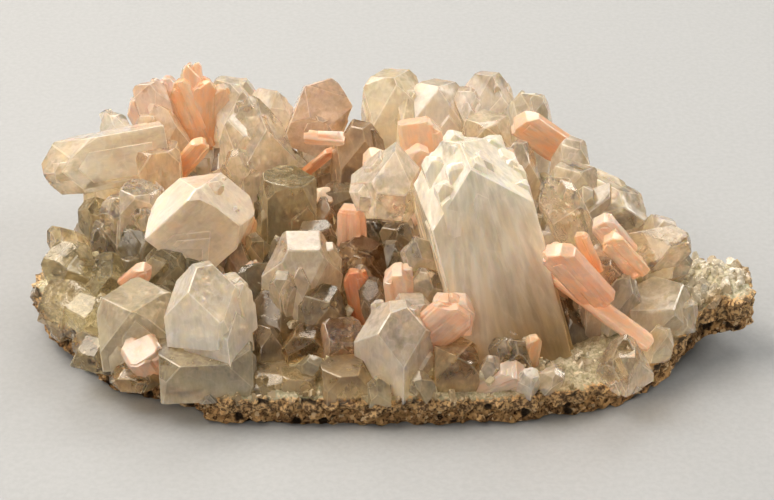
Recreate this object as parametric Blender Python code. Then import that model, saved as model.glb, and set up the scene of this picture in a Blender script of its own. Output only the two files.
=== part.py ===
"""Apophyllite with stilbite: a loose plate of crystals on a thin rind of basalt.

Everything is in millimetres until the last step. The crystals are laid out on an oblique drawing board
(a perspective sheet seen 32 degrees above the table): each one is placed by the point of the sheet where its
top face has its centre and by how high that point is above the table, and its axis by its angle on the
sheet and its lean towards the reader. A crystal is a convex solid bounded by planes, as the mineral itself is.
"""

import itertools
import math
import random

import bmesh
import bpy
import numpy as np
from mathutils import Vector
from mathutils.geometry import delaunay_2d_cdt

# ---------------------------------------------------------------- driving dimensions (mm, degrees)
GAP = 0.30            # clearance left between solids that touch
GROW = 0.33           # how far a crystal is swollen when it cuts its neighbour, so the gap stays open
PYRAMID = 60.4        # slope of apophyllite's pyramid faces from the base plane
BLADE_POINT = 52.0    # slope of the stilbite blade's end faces
CELL = 6.4            # spacing of the points of the crust's and the rock's surfaces
ROOT_COVER = 1.1      # crust left under the root of a crystal
JITTER = 0.25         # how far a face wanders from its ideal place
SEED = 4203

# The drawing board: eye, target height, and sheet units per millimetre at one millimetre of depth.
BOARD_TILT = 32.0
BOARD_FOCAL = 1827.5
BOARD_REACH = 382.0
BOARD_TARGET_Z = 18.0
BOARD_CENTRE = (387.0, 250.0)

# The plate's edge, seen from above, counter-clockwise from the left end (mm).
PLATE = [
    (-74, -5), (-70.5, -10), (-63, -18.5), (-56, -25), (-48, -28), (-42, -29.5), (-35, -35), (-28, -36), (-10, -36.3),
    (10, -36.3), (28, -35.3), (42, -32), (50, -28.3), (57, -22.5), (61, -17.5), (64.5, -13), (69, -12.5),
    (72.5, -13.5), (75.5, -11), (76, -6.5), (73, -1.5), (68, 3), (64, 7), (58, 13), (52, 21), (46, 29), (39, 37),
    (31, 44), (18, 48), (0, 49.5), (-18, 49.5), (-36, 50), (-50, 48), (-60, 42), (-66, 32), (-70, 20), (-73, 8),
]

# ---------------------------------------------------------------- the crystals
# name, kind, solid, u, v, z, turn, lean, length, half width, half depth, point height, spin[, pyramid slope]
#   kind    A apophyllite (square prism, steep pyramid across its corners, flat top), S stilbite (blade)
#   u, v    the top's centre on the sheet; z its height over the table
#   turn    the axis on the sheet, clockwise from straight up; lean its tilt towards the reader (32 is upright)
#   point   how far above the flat top the four pyramid faces would meet: 0 is a sharp point
CRYSTALS = [
    # the left end and the back left
    ("A1", "A", "apophyllite_left_spear", 43, 172, 25, -101, 10, 27, 6.2, 5.8, 1.6, 38, 50),
    ("A2", "A", "apophyllite_back_left", 108, 111, 27, -20, 20, 14, 3.2, 3.0, 1.5, 20),
    ("A3a", "A", "apophyllite_back_left", 147, 82, 35, -12, 22, 16, 3.6, 3.4, 3.5, 15),
    ("A3b", "S", "stilbite_back_left_pair", 168, 77, 35, -4, 20, 17, 3.0, 1.7, 1.0, 0),
    ("A3c", "S", "stilbite_back_left_pair", 134, 98, 31, -25, 22, 13, 3.0, 1.8, 1.0, 10),
    ("A5", "A", "apophyllite_back_left", 160, 104, 31, 0, 18, 18, 5.6, 5.2, 2.0, 45),
    ("A4a", "S", "stilbite_fan", 190, 63, 38, -3, 18, 19, 2.4, 1.8, 0.5, 0),
    ("A4b", "S", "stilbite_fan", 178, 80, 35, -20, 22, 17, 2.7, 1.8, 0.8, -10),
    ("A4c", "S", "stilbite_fan", 207, 79, 35, 8, 20, 17, 2.7, 1.8, 0.8, 10),
    ("A4d", "S", "stilbite_fan", 222, 86, 33, 23, 20, 16, 2.5, 1.7, 0.8, 20),
    ("A6", "A", "apophyllite_left_spear", 156, 146, 30, -4, 24, 16, 4.8, 4.6, 8.0, 14),
    ("A7", "S", "stilbite_left_stub", 204, 141, 30, 44, 25, 10, 2.2, 1.3, 0.8, 10),
    ("A8a", "A", "apophyllite_left_cluster", 105, 205, 24, -62, 50, 12, 3.6, 3.4, 3.0, 30),
    ("A8b", "A", "apophyllite_left_cluster", 139, 188, 27, 6, 30, 13, 4.4, 4.0, 6.0, 10),
    ("A8c", "A", "apophyllite_left_cluster", 143, 208, 26, 4, 60, 8, 2.0, 1.9, 0.6, 40),
    ("A9", "A", "apophyllite_cloudy_block", 227, 195, 30, 50.6, 24, 16.5, 7.6, 6.6, 15.2, 0),
    ("A10a", "A", "apophyllite_left_cluster", 134, 224, 21, -12, 34, 14, 5.2, 4.8, 3.0, 45),
    ("A10b", "A", "apophyllite_left_cluster", 172, 244, 21, 10, 34, 14, 5.4, 5.0, 4.0, 20),
    ("A11", "A", "apophyllite_left_cluster", 86, 204, 20, -34, 25, 14, 4.4, 4.2, 3.6, 20),
    ("A12", "A", "apophyllite_back_domes", 228, 76, 33, -3, 15, 18, 5.6, 5.0, 4.0, 40),
    ("A13", "A", "apophyllite_back_domes", 272, 86, 31, 6, 18, 16, 5.0, 4.8, 4.0, 20),
    # the back, left of the middle
    ("B1", "A", "apophyllite_tall_point", 251, 96, 36, -4, 16, 24, 7.0, 6.6, 2.0, 30),
    ("B1b", "A", "apophyllite_tall_point", 236, 150, 29, -10, 55, 12, 3.5, 3.3, 1.0, 40),
    ("B2", "A", "apophyllite_grey_block", 290, 176, 27, 6, 30, 16, 5.6, 5.0, 9.0, 8),
    ("B3", "A", "apophyllite_pink_block", 329, 95, 34, 30, 55, 16, 5.9, 5.6, 7.0, -14),
    ("B4", "A", "apophyllite_back_middle", 359, 124, 31, 4, 25, 16, 5.2, 4.8, 4.0, 20),
    ("B5", "S", "stilbite_ledge", 345, 140, 29, 94, 5, 9, 1.7, 1.1, 0.8, 60),
    ("B6", "A", "apophyllite_back_middle", 334, 158, 22, 0, 30, 12, 4.4, 4.0, 2.0, 30),
    ("B6s", "S", "stilbite_hollow_blade", 333, 150, 25, 52, 20, 9, 1.3, 0.8, 0.5, 20),
    # the middle
    ("B7", "A", "apophyllite_centre", 304, 241, 27, 4, 38, 18, 6.2, 5.8, 6.0, 50),
    ("B7b", "A", "apophyllite_centre", 286, 272, 24, 0, 50, 12, 2.6, 2.4, 0.8, 40),
    ("B8", "S", "stilbite_centre_wall", 352, 207, 26, 0, 25, 16, 3.0, 1.7, 2.5, -10),
    ("B9", "A", "apophyllite_dark_floor", 362, 244, 20, 8, 35, 13, 5.2, 4.8, 5.0, 15),
    ("C1", "A", "apophyllite_cream", 389, 73, 37, -8, 20, 22, 6.3, 5.6, 6.0, 15),
    ("C1b", "A", "apophyllite_cream", 414, 88, 35, 8, 25, 18, 4.2, 4.0, 3.0, 30),
    ("C2", "S", "stilbite_summit_sheaf", 418, 119, 40, -10, 25, 15, 4.6, 2.0, 2.5, 0),
    ("C3", "S", "stilbite_summit_sheaf", 366, 157, 33, -70, 25, 15, 2.9, 1.8, 1.8, 0),
    ("C4", "S", "stilbite_summit_sheaf", 424, 148, 35.5, 30, 25, 13, 2.8, 1.6, 1.5, 10),
    ("C5", "A", "apophyllite_clear_wedge", 389, 208, 33, 186, 62, 14, 6.2, 6.0, 5.0, 40),
    ("C6", "A", "apophyllite_giant", 455, 136, 47, -15, 14, 48, 10.4, 9.0, 3.0, 10, 53),
    ("C6b", "A", "apophyllite_giant", 440, 146, 45, -6, 14, 18, 3.2, 3.0, 1.0, 30),
    ("C6c", "A", "apophyllite_giant", 488, 158, 43, 16, 22, 16, 4.2, 3.6, 1.6, 30),
    ("C7", "A", "apophyllite_small_pair", 416, 240, 31, -10, 60, 12, 2.9, 2.7, 1.0, 20),
    ("C8", "A", "apophyllite_small_pair", 425, 270, 25, -6, 55, 12, 3.3, 3.1, 1.0, 30),
    ("C9", "S", "stilbite_shoulder", 507, 150, 38, 14, 20, 15, 4.0, 2.0, 2.0, 0),
    ("C12", "A", "apophyllite_back_right", 487, 73, 37, 0, 18, 20, 5.6, 5.0, 4.0, 20),
    ("C12b", "A", "apophyllite_back_right", 466, 88, 35, -6, 25, 18, 4.0, 3.8, 3.0, 35),
    ("C13", "A", "apophyllite_back_right", 533, 90, 36, 8, 18, 18, 4.9, 4.4, 3.0, 30),
    ("C16", "A", "apophyllite_cream", 437, 82, 36, 0, 18, 18, 5.2, 4.6, 5.0, 5),
    ("C17", "A", "apophyllite_back_right", 486, 117, 33, 0, 28, 16, 5.2, 4.6, 6.0, 8),
    ("C14", "S", "stilbite_back_right", 518, 120, 35, -58, 24, 13, 3.6, 2.0, 1.8, 0),
    ("C18", "A", "apophyllite_grey_wedge", 522, 142, 32, 10, 25, 16, 4.2, 3.8, 2.0, 30),
    # the right
    ("C10", "A", "apophyllite_glassy_finger", 549, 180, 38, -30, 35, 20, 3.9, 3.6, 2.6, 20),
    ("C11", "S", "stilbite_bright_blades", 553, 249, 34, -46, 38, 18, 3.7, 2.0, 2.5, -15),
    ("C11b", "S", "stilbite_bright_blades", 651, 346, 13, 127, 10, 30, 1.9, 1.3, 1.2, 0),
    ("C11c", "S", "stilbite_thin_slip", 580, 233, 34, -26, 30, 10, 1.5, 0.9, 1.0, -20),
    ("D5", "S", "stilbite_right_steps", 599, 220, 32, -42, 25, 10, 2.6, 1.7, 2.0, -10),
    ("D5b", "S", "stilbite_right_steps", 608, 236, 30, -43, 25, 11, 2.4, 1.6, 1.5, -10),
    ("D2", "A", "apophyllite_right_ridge", 575, 139, 32, 6, 20, 16, 3.6, 3.4, 3.0, 20),
    ("D2b", "A", "apophyllite_right_ridge", 574, 164, 32, 0, 28, 16, 4.8, 4.4, 5.0, 12),
    ("D3", "A", "apophyllite_right_ridge", 648, 217, 23, 116, 24, 20, 4.6, 4.3, 3.0, 30),
    ("D3b", "A", "apophyllite_right_ridge", 602, 178, 30, 24, 18, 18, 4.6, 4.2, 3.0, 30),
    ("D4", "A", "apophyllite_right_prism", 690, 243, 24, 78, 20, 17, 4.5, 4.3, 2.6, 30),
    ("D4b", "A", "apophyllite_right_prism", 689, 259, 20, 60, 35, 12, 2.8, 2.6, 2.0, 20),
    ("D6", "A", "apophyllite_right_bed", 602, 252, 26, 0, 35, 15, 4.0, 3.6, 4.0, 15),
    ("D6b", "A", "apophyllite_right_bed", 624, 274, 22, 10, 40, 13, 3.6, 3.4, 2.0, 35),
    ("D8", "A", "apophyllite_right_bed", 662, 288, 18, 5, 45, 14, 7.0, 6.4, 6.0, 20),
    ("D8b", "A", "apophyllite_right_bed", 692, 301, 15, 29, 20, 12, 2.8, 1.3, 1.5, 10),
    ("D9", "A", "apophyllite_front_point", 625, 337, 17, -4, 38, 15, 4.2, 4.1, 1.4, 42),
    # the front, right of the middle
    ("G7", "A", "apophyllite_front_eyes", 513, 331, 17, 0, 45, 12, 3.8, 3.4, 2.0, 20),
    ("G7s", "S", "stilbite_front_sliver", 534, 337, 15, 4, 40, 9, 1.7, 1.0, 1.0, 20),
    ("G7b", "A", "apophyllite_front_eyes", 490, 358, 13, -10, 45, 8, 2.4, 2.2, 1.5, 30),
    ("G8", "S", "stilbite_front_lens", 521, 372, 10, 64, 30, 13, 3.4, 2.3, 2.0, 0),
    ("G1", "A", "apophyllite_front_hexagon", 400, 302, 23, 0, 33, 22, 6.7, 6.5, 1.4, 50, 48),
    ("G2", "S", "stilbite_front_sheaf", 464, 306, 23, 48, 30, 14, 4.2, 2.2, 2.0, 0),
    ("G2b", "S", "stilbite_front_sheaf", 455, 298, 24, 8, 36, 8, 4.3, 2.0, 2.6, 0),
    ("G3", "S", "stilbite_front_knob", 397, 269, 25, -6, 38, 10, 3.0, 2.2, 1.2, 0),
    ("G5", "A", "apophyllite_front_amber", 456, 345, 14, 4, 30, 12, 4.6, 4.2, 6.0, 8),
    # the front left
    ("E1", "A", "apophyllite_left_corner", 62, 251, 20, -14, 42, 15, 5.2, 5.0, 5.0, 20),
    ("E1b", "A", "apophyllite_left_corner", 96, 256, 20, 4, 45, 14, 5.0, 4.6, 4.0, 35),
    ("E1c", "A", "apophyllite_left_corner", 55, 290, 15, -34, 42, 13, 5.4, 5.0, 5.0, 25),
    ("E1d", "A", "apophyllite_left_corner", 84, 304, 14, -8, 50, 12, 5.0, 4.6, 5.0, 10),
    ("E2", "A", "apophyllite_left_glass", 90, 345, 11, -16, 52, 9, 5.4, 4.6, 4.0, 25),
    ("E2b", "A", "apophyllite_left_glass", 108, 352, 10, -10, 55, 8, 4.2, 4.0, 3.0, 40),
    ("E3", "A", "apophyllite_white_block", 135, 294, 21, -3, 33, 14, 7.9, 6.2, 8.0, 6),
    ("E4", "A", "apophyllite_front_spire", 203, 264, 29, -5, 18, 15.5, 6.7, 6.7, 2.0, 65, 52),
    ("E4b", "A", "apophyllite_front_spire", 206, 342, 14, 0, 34, 16, 9.0, 7.4, 15.0, 4),
    ("E5", "S", "stilbite_front_left", 139, 348, 14, -25, 58, 8, 3.9, 3.0, 4.0, 30),
    ("E6", "A", "apophyllite_white_block", 134, 366, 9, -4, 52, 8, 4.8, 4.6, 6.0, 42),
    ("E9", "S", "stilbite_left_chip", 147, 268, 20, 52, 28, 7, 2.2, 1.5, 1.2, 0),
    ("F2", "A", "apophyllite_olive", 252, 264, 20, 0, 35, 14, 4.8, 4.4, 3.6, 35),
    ("F3", "A", "apophyllite_olive", 270, 296, 18, 4, 38, 14, 4.8, 4.4, 3.0, 30),
    ("F4", "A", "apophyllite_low_clear", 322, 292, 19, 4, 38, 14, 4.4, 4.0, 5.0, 25),
    ("F5", "A", "apophyllite_low_clear", 304, 330, 14, -2, 42, 11, 4.8, 4.4, 4.0, 35),
    ("F6", "A", "apophyllite_pink_cube", 345, 330, 15, 18, 50, 11, 3.6, 3.4, 7.0, 15),
    ("F7", "S", "stilbite_red_blade", 354, 270, 21, -12, 22, 14, 2.7, 1.4, 1.2, 0),
    ("F8", "A", "apophyllite_sliver", 373, 279, 20, 4, 35, 12, 2.8, 2.6, 1.5, 30),
    ("F10a", "A", "apophyllite_front_low", 270, 370, 9, 0, 28, 12, 5.4, 3.6, 8.0, 5),
    ("F10b", "A", "apophyllite_front_low", 299, 372, 9, 6, 28, 10, 3.4, 3.0, 6.0, 5),
    ("F10c", "A", "apophyllite_front_hexagon", 347, 364, 11, 3, 30, 14, 5.2, 4.2, 8.0, 12),
]

# Crystals round the back rim: name, kind, solid, x, y, z of the top, bearing the axis leans to
# (counter-clockwise from +X), angle from upright, length, half width, half depth, point height, spin
REAR = [
    ("K1", "A", "apophyllite_back_left", -57, 44, 20, 120, 38, 11, 4.0, 3.8, 3.0, 20),
    ("K2", "A", "apophyllite_back_domes", -43, 47.5, 21, 100, 32, 12, 4.2, 4.0, 3.0, 40),
    ("K2b", "S", "stilbite_rear_fan", -31, 48.5, 22, 92, 30, 12, 3.0, 1.7, 1.2, 10),
    ("K2c", "S", "stilbite_rear_fan", -27, 48, 21, 70, 34, 12, 2.8, 1.6, 1.2, -20),
    ("K3", "A", "apophyllite_pink_block", -16, 48.5, 20, 90, 36, 11, 4.4, 4.0, 4.0, 15),
    ("K4", "A", "apophyllite_cream", -5, 48, 22, 86, 28, 12, 4.2, 4.0, 2.6, 45),
    ("K5", "A", "apophyllite_cream", 8, 48, 20, 92, 34, 11, 4.6, 4.2, 4.0, 25),
    ("K6", "A", "apophyllite_back_right", 21, 46, 21, 76, 32, 12, 4.2, 4.0, 3.0, 30),
    ("K7", "A", "apophyllite_back_right", 34, 40.5, 20, 58, 36, 11, 4.2, 3.8, 4.0, 10),
    ("K8", "A", "apophyllite_rear_corner", 47, 28, 19, 42, 32, 11, 4.2, 4.0, 3.0, 35),
    ("K8b", "S", "stilbite_rear_right", 52, 20, 18, 38, 38, 10, 2.8, 1.6, 1.2, 0),
    ("K9", "A", "apophyllite_right_ridge", 53, 12, 23, 34, 30, 15, 3.8, 3.6, 3.0, 20),
    ("K11", "A", "apophyllite_left_spear", -66, 28, 19, 155, 34, 11, 4.4, 4.2, 3.0, 25),
    ("K12", "A", "apophyllite_left_cluster", -66, 16, 16, 178, 26, 8, 3.4, 3.2, 3.0, 10),
]

MINERAL = {  # base colour, roughness, transmission, index of refraction
    "A": ((0.80, 0.77, 0.66), 0.12, 0.75, 1.535),
    "S": ((0.82, 0.52, 0.36), 0.35, 0.10, 1.50),
    "crust": ((0.62, 0.63, 0.52), 0.40, 0.20, 1.535),
    "rock": ((0.24, 0.17, 0.11), 0.85, 0.0, 1.50),
}

# ---------------------------------------------------------------- the drawing board
_tilt = math.radians(BOARD_TILT)
RIGHT = np.array([1.0, 0.0, 0.0])
UP = np.array([0.0, math.sin(_tilt), math.cos(_tilt)])
INTO = np.array([0.0, math.cos(_tilt), -math.sin(_tilt)])
EYE = np.array([0.0, 0.0, BOARD_TARGET_Z]) - BOARD_REACH * INTO


def on_sheet(u, v, z):
    """The point at height z that lies under (u, v) of the sheet."""
    ray = RIGHT * (u - BOARD_CENTRE[0]) / BOARD_FOCAL + UP * (BOARD_CENTRE[1] - v) / BOARD_FOCAL + INTO
    return EYE + ray * ((z - EYE[2]) / ray[2])


def sheet_axis(turn, lean):
    turn, lean = math.radians(turn), math.radians(lean)
    return math.cos(lean) * (math.sin(turn) * RIGHT + math.cos(turn) * UP) - math.sin(lean) * INTO


def plan_axis(bearing, tilt):
    bearing, tilt = math.radians(bearing), math.radians(tilt)
    return np.array([math.sin(tilt) * math.cos(bearing), math.sin(tilt) * math.sin(bearing), math.cos(tilt)])


def cross_axes(axis, spin):
    side = RIGHT - axis * (RIGHT @ axis)
    if np.linalg.norm(side) < 0.2:
        side = UP - axis * (UP @ axis)
    side = side / np.linalg.norm(side)
    deep = np.cross(axis, side)
    s = math.radians(spin)
    return math.cos(s) * side + math.sin(s) * deep, -math.sin(s) * side + math.cos(s) * deep


# ---------------------------------------------------------------- the plate's surfaces
def ripple(x, y, scale, phase):
    """A smooth, repeatable unevenness between about -1 and 1."""
    x, y = x / scale, y / scale
    return (
        math.sin(1.7 * x + 0.6 * y + phase) + math.sin(-0.9 * x + 1.9 * y + 2.3 * phase)
        + math.sin(2.6 * x - 1.4 * y + 0.7 * phase)
    ) / 3.0


def ramp(value, start, end):
    t = min(1.0, max(0.0, (value - start) / (end - start)))
    return t * t * (3 - 2 * t)


def under_height(x, y):
    """The underside: flat on the table in the middle, lifting at both ends and a little at the back."""
    lift = 4.0 * (max(0.0, -53 - x) / 22) ** 1.4 + 6.8 * (max(0.0, x - 47) / 26) ** 1.2
    lift += 2.5 * (max(0.0, y - 38) / 12) ** 1.2
    return lift + 0.4 * ripple(x, y, 5.0, 1.0) * min(1.0, lift)


def rock_height(x, y):
    return under_height(x, y) + 3.2 + 0.45 * ripple(x, y, 6.0, 2.1)


def crust_height(x, y, edge):
    """The crust's top. edge is 0 at the rim and 1 inside."""
    thick = 3.6 + 2.6 * ramp(y, -30, 25) + 3.6 * ramp(x, 58, 70) + 0.6 * ripple(x, y, 5.5, 4.0)
    return rock_height(x, y) + GAP + thick * (0.55 + 0.45 * edge)


# ---------------------------------------------------------------- convex crystals
def unit(vector):
    return vector / np.linalg.norm(vector)


def crystal_planes(kind, top, axis, spin, a, b, point, length, slope, rng):
    """The planes (outward normal, distance) that bound a crystal."""
    x, y = cross_axes(axis, spin)
    planes = []

    def add(normal, reach, wander=1.0):
        normal = unit(np.asarray(normal, float))
        planes.append((normal, normal @ top + reach + wander * rng.uniform(-JITTER, JITTER)))

    if kind == "A":
        for normal, reach in ((x, a), (-x, a), (y, b), (-y, b)):
            add(normal, reach)
        add(axis, 0.0, 0.3)
        rho = math.radians(slope)
        for sx, sy in itertools.product((1, -1), (1, -1)):
            add((sx * x + sy * y) * math.sin(rho) / math.sqrt(2) + axis * math.cos(rho), point * math.cos(rho))
    else:
        for normal, reach in ((x, a), (-x, a), (y, b), (-y, b)):
            add(normal, reach, 0.4)
        add(axis, 0.0, 0.3)
        rho = math.radians(slope)
        for sx in (1, -1):
            add(sx * x * math.sin(rho) + axis * math.cos(rho), point * math.cos(rho), 0.5)
            for sy in (1, -1):
                add(sx * x * 0.62 + sy * y * 0.78, 0.62 * a + 0.43 * b, 0.2)
    add(-axis, length, 0.3)
    return planes


def hull_of(planes):
    """Corners and faces of the convex solid inside the planes. A face is a list of corner numbers, seen from outside."""
    normals = np.array([n for n, _ in planes])
    reach = np.array([d for _, d in planes])
    corners = []
    for trio in itertools.combinations(range(len(planes)), 3):
        trio = list(trio)
        if abs(np.linalg.det(normals[trio])) < 1e-6:
            continue
        point = np.linalg.solve(normals[trio], reach[trio])
        if (normals @ point <= reach + 1e-7).all() and all(np.linalg.norm(point - q) > 1e-5 for q in corners):
            corners.append(point)
    corners = np.array(corners)
    faces = []
    for normal, distance in planes:
        on = [i for i in range(len(corners)) if abs(corners[i] @ normal - distance) < 1e-5]
        if len(on) < 3:
            continue
        middle = corners[on].mean(0)
        e1 = unit(corners[on[0]] - middle)
        e2 = np.cross(normal, e1)
        faces.append(sorted(on, key=lambda i: math.atan2((corners[i] - middle) @ e2, (corners[i] - middle) @ e1)))
    return corners, faces


def mesh_object(name, corners, faces):
    mesh = bpy.data.meshes.new(name)
    mesh.from_pydata([tuple(map(float, c)) for c in corners], [], faces)
    mesh.validate()
    obj = bpy.data.objects.new(name, mesh)
    bpy.context.scene.collection.objects.link(obj)
    return obj


def combine(target, others, operation):
    """Applies one Boolean of target with every one of the others, and removes them."""
    if not others:
        return
    holder = bpy.data.collections.new("cutters")
    bpy.context.scene.collection.children.link(holder)
    for other in others:
        bpy.context.scene.collection.objects.unlink(other)
        holder.objects.link(other)
    modifier = target.modifiers.new("join", "BOOLEAN")
    modifier.operation = operation
    modifier.solver = "EXACT"
    modifier.operand_type = "COLLECTION"
    modifier.collection = holder
    modifier.use_self = len(others) > 1
    bpy.context.view_layer.update()
    result = bpy.data.meshes.new_from_object(target.evaluated_get(bpy.context.evaluated_depsgraph_get()))
    target.modifiers.clear()
    old, target.data = target.data, result
    bpy.data.meshes.remove(old)
    for other in others:
        data = other.data
        bpy.data.objects.remove(other)
        bpy.data.meshes.remove(data)
    bpy.data.collections.remove(holder)


def tidy(obj):
    """Keeps the largest body of the mesh, welds its doubles, flattens its slivers and turns its faces out."""
    bm = bmesh.new()
    bm.from_mesh(obj.data)
    bmesh.ops.remove_doubles(bm, verts=bm.verts, dist=0.0001)
    bmesh.ops.dissolve_degenerate(bm, edges=bm.edges, dist=0.004)
    bmesh.ops.triangulate(bm, faces=bm.faces)
    bm.verts.ensure_lookup_table()
    seen, bodies = set(), []
    for start in bm.verts:
        if start in seen:
            continue
        stack, body = [start], set()
        while stack:
            vert = stack.pop()
            if vert in body:
                continue
            body.add(vert)
            stack.extend(edge.other_vert(vert) for edge in vert.link_edges)
        seen |= body
        faces = {face for vert in body for face in vert.link_faces}
        volume = sum(f.verts[0].co.dot(f.verts[1].co.cross(f.verts[2].co)) for f in faces) / 6
        bodies.append((abs(volume), body))
    keep = max(bodies, key=lambda item: item[0])[1]
    bmesh.ops.delete(bm, geom=[v for v in bm.verts if v not in keep], context="VERTS")
    bmesh.ops.recalc_face_normals(bm, faces=bm.faces)
    bm.to_mesh(obj.data)
    bm.free()


# ---------------------------------------------------------------- sheets between two heights
def inside(point, outline):
    x, y = point
    odd = False
    for (x0, y0), (x1, y1) in zip(outline, outline[1:] + outline[:1]):
        if (y0 > y) != (y1 > y) and x < (x1 - x0) * (y - y0) / (y1 - y0) + x0:
            odd = not odd
    return odd


def edge_distance(point, outline):
    best = 1e9
    for (x0, y0), (x1, y1) in zip(outline, outline[1:] + outline[:1]):
        dx, dy = x1 - x0, y1 - y0
        t = min(1.0, max(0.0, ((point[0] - x0) * dx + (point[1] - y0) * dy) / (dx * dx + dy * dy)))
        best = min(best, math.hypot(point[0] - x0 - t * dx, point[1] - y0 - t * dy))
    return best


def ragged(outline, step, amount, inset, rng):
    """The outline with points every step, moved in by inset and off the line by up to amount."""
    cx = sum(p[0] for p in outline) / len(outline)
    cy = sum(p[1] for p in outline) / len(outline)
    points = []
    for (x0, y0), (x1, y1) in zip(outline, outline[1:] + outline[:1]):
        length = math.hypot(x1 - x0, y1 - y0)
        count = max(1, round(length / step))
        nx, ny = (y1 - y0) / length, -(x1 - x0) / length
        if (x0 - cx) * nx + (y0 - cy) * ny < 0:
            nx, ny = -nx, -ny
        for i in range(count):
            t = i / count
            off = rng.uniform(-amount, amount) - inset
            points.append((x0 + (x1 - x0) * t + nx * off, y0 + (y1 - y0) * t + ny * off))
    return points


def plan_of(outline, rng, cell):
    """The flat triangulation that both sheets share: points, how far each is from the rim (0 to 1), triangles."""
    points = [Vector(p) for p in outline]
    count = len(points)
    xs = [p[0] for p in outline]
    ys = [p[1] for p in outline]
    row = 0
    y = min(ys)
    while y < max(ys):
        x = min(xs) + (0.5 * cell if row % 2 else 0.0)
        while x < max(xs):
            spot = (x + rng.uniform(-0.18, 0.18) * cell, y + rng.uniform(-0.18, 0.18) * cell)
            if inside(spot, outline) and edge_distance(spot, outline) > 0.55 * cell:
                points.append(Vector(spot))
            x += cell
        y += 0.866 * cell
        row += 1
    rim = [(i, (i + 1) % count) for i in range(count)]
    flat, _, found, *_ = delaunay_2d_cdt(points, rim, [], 1, 1e-5)
    flat = [(p[0], p[1]) for p in flat]
    edges = [min(1.0, edge_distance(p, outline) / (0.9 * cell)) for p in flat]
    triangles = []
    for a, b, c in found:
        (ax, ay), (bx, by), (cx, cy) = flat[a], flat[b], flat[c]
        turned = (bx - ax) * (cy - ay) - (by - ay) * (cx - ax) < 0
        triangles.append((c, b, a) if turned else (a, b, c))
    return flat, edges, triangles


def slab(name, plan, low, high):
    """A closed sheet between the height functions low(x, y, edge) and high(x, y, edge)."""
    flat, edges, triangles = plan
    total = len(flat)
    corners = [(x, y, low(x, y, e)) for (x, y), e in zip(flat, edges)]
    corners += [(x, y, high(x, y, e)) for (x, y), e in zip(flat, edges)]
    faces = []
    border = set()
    for a, b, c in triangles:
        faces.append((a + total, b + total, c + total))
        faces.append((c, b, a))
        border |= {(a, b), (b, c), (c, a)}
    for a, b in sorted(border):
        if (b, a) not in border:
            faces.append((a, b, b + total, a + total))
    return mesh_object(name, corners, faces)


# ---------------------------------------------------------------- build
def build():
    for obj in list(bpy.data.objects):
        bpy.data.objects.remove(obj)
    rng = random.Random(SEED)

    # Each crystal's planes, cut level where its root sinks into the crust.
    crystals = []
    rows = [("sheet", row) for row in CRYSTALS] + [("plan", row) for row in REAR]
    for style, row in rows:
        name, kind, solid, p, q, z, turn, lean, length, a, b, point, spin = row[:13]
        slope = row[13] if len(row) > 13 else (PYRAMID if kind == "A" else BLADE_POINT)
        if style == "sheet":
            top, axis = on_sheet(p, q, z), sheet_axis(turn, lean)
        else:
            top, axis = np.array([p, q, z], float), plan_axis(turn, lean)
        planes = crystal_planes(kind, top, axis, spin, a, b, point, length, slope, rng)
        corners, _ = hull_of(planes)
        low = corners[corners[:, 2] < corners[:, 2].min() + 6.0]
        floor = max(rock_height(x, y) for x, y, _ in low) + GAP + ROOT_COVER
        if corners[:, 2].min() < floor:
            planes.append((np.array([0.0, 0.0, -1.0]), -floor))
        crystals.append({"name": name, "kind": kind, "solid": solid, "planes": planes, "top": top})

    # Solids nearest the eye keep their full shape; the ones behind are cut to clear them.
    solids = {}
    for crystal in crystals:
        solids.setdefault(crystal["solid"], []).append(crystal)
    order = sorted(solids, key=lambda s: min(float((c["top"] - EYE) @ INTO) for c in solids[s]))
    placed = []
    nodes = []
    for solid in order:
        members = solids[solid]
        shapes = [hull_of(c["planes"]) for c in members]
        obj = mesh_object(solid, *shapes[0])
        combine(obj, [mesh_object("part", *shape) for shape in shapes[1:]], "UNION")
        low = np.min([shape[0].min(0) for shape in shapes], axis=0)
        high = np.max([shape[0].max(0) for shape in shapes], axis=0)
        cutters = [
            mesh_object("cutter", *shape) for shape in placed
            if (shape[0].min(0) < high).all() and (shape[0].max(0) > low).all()
        ]
        combine(obj, cutters, "DIFFERENCE")
        tidy(obj)
        placed += [hull_of([(n, d + GROW) for n, d in c["planes"]]) for c in members]
        nodes.append((obj, members[0]["kind"]))

    plan = plan_of(ragged(PLATE, CELL, 0.6, 0.0, rng), rng, CELL)
    crust = slab("drusy_crust", plan, lambda x, y, e: rock_height(x, y) + GAP, crust_height)
    combine(crust, [mesh_object("cutter", *shape) for shape in placed], "DIFFERENCE")
    tidy(crust)
    rock = slab("basalt_rind", plan, lambda x, y, e: under_height(x, y), lambda x, y, e: rock_height(x, y))
    tidy(rock)
    nodes += [(crust, "crust"), (rock, "rock")]

    # Centre the plate over the origin, standing on z = 0, and turn millimetres into metres.
    everything = np.concatenate([
        np.array([v.co for v in obj.data.vertices]) for obj, _ in nodes
    ])
    low, high = everything.min(0), everything.max(0)
    shift = Vector((-(low[0] + high[0]) / 2, -(low[1] + high[1]) / 2, -low[2]))
    print("shift", tuple(round(c, 4) for c in shift), "size", tuple(round(float(c), 2) for c in high - low))
    for obj, kind in nodes:
        for vert in obj.data.vertices:
            vert.co = (vert.co + shift) * 0.001
        colour, roughness, transmission, ior = MINERAL[kind]
        material = bpy.data.materials.new(obj.name)
        material.use_nodes = True
        shader = material.node_tree.nodes["Principled BSDF"]
        shader.inputs["Base Color"].default_value = (*colour, 1.0)
        shader.inputs["Roughness"].default_value = roughness
        shader.inputs["Transmission Weight"].default_value = transmission
        shader.inputs["IOR"].default_value = ior
        obj.data.materials.clear()
        obj.data.materials.append(material)
        obj.data.update()


build()
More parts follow.
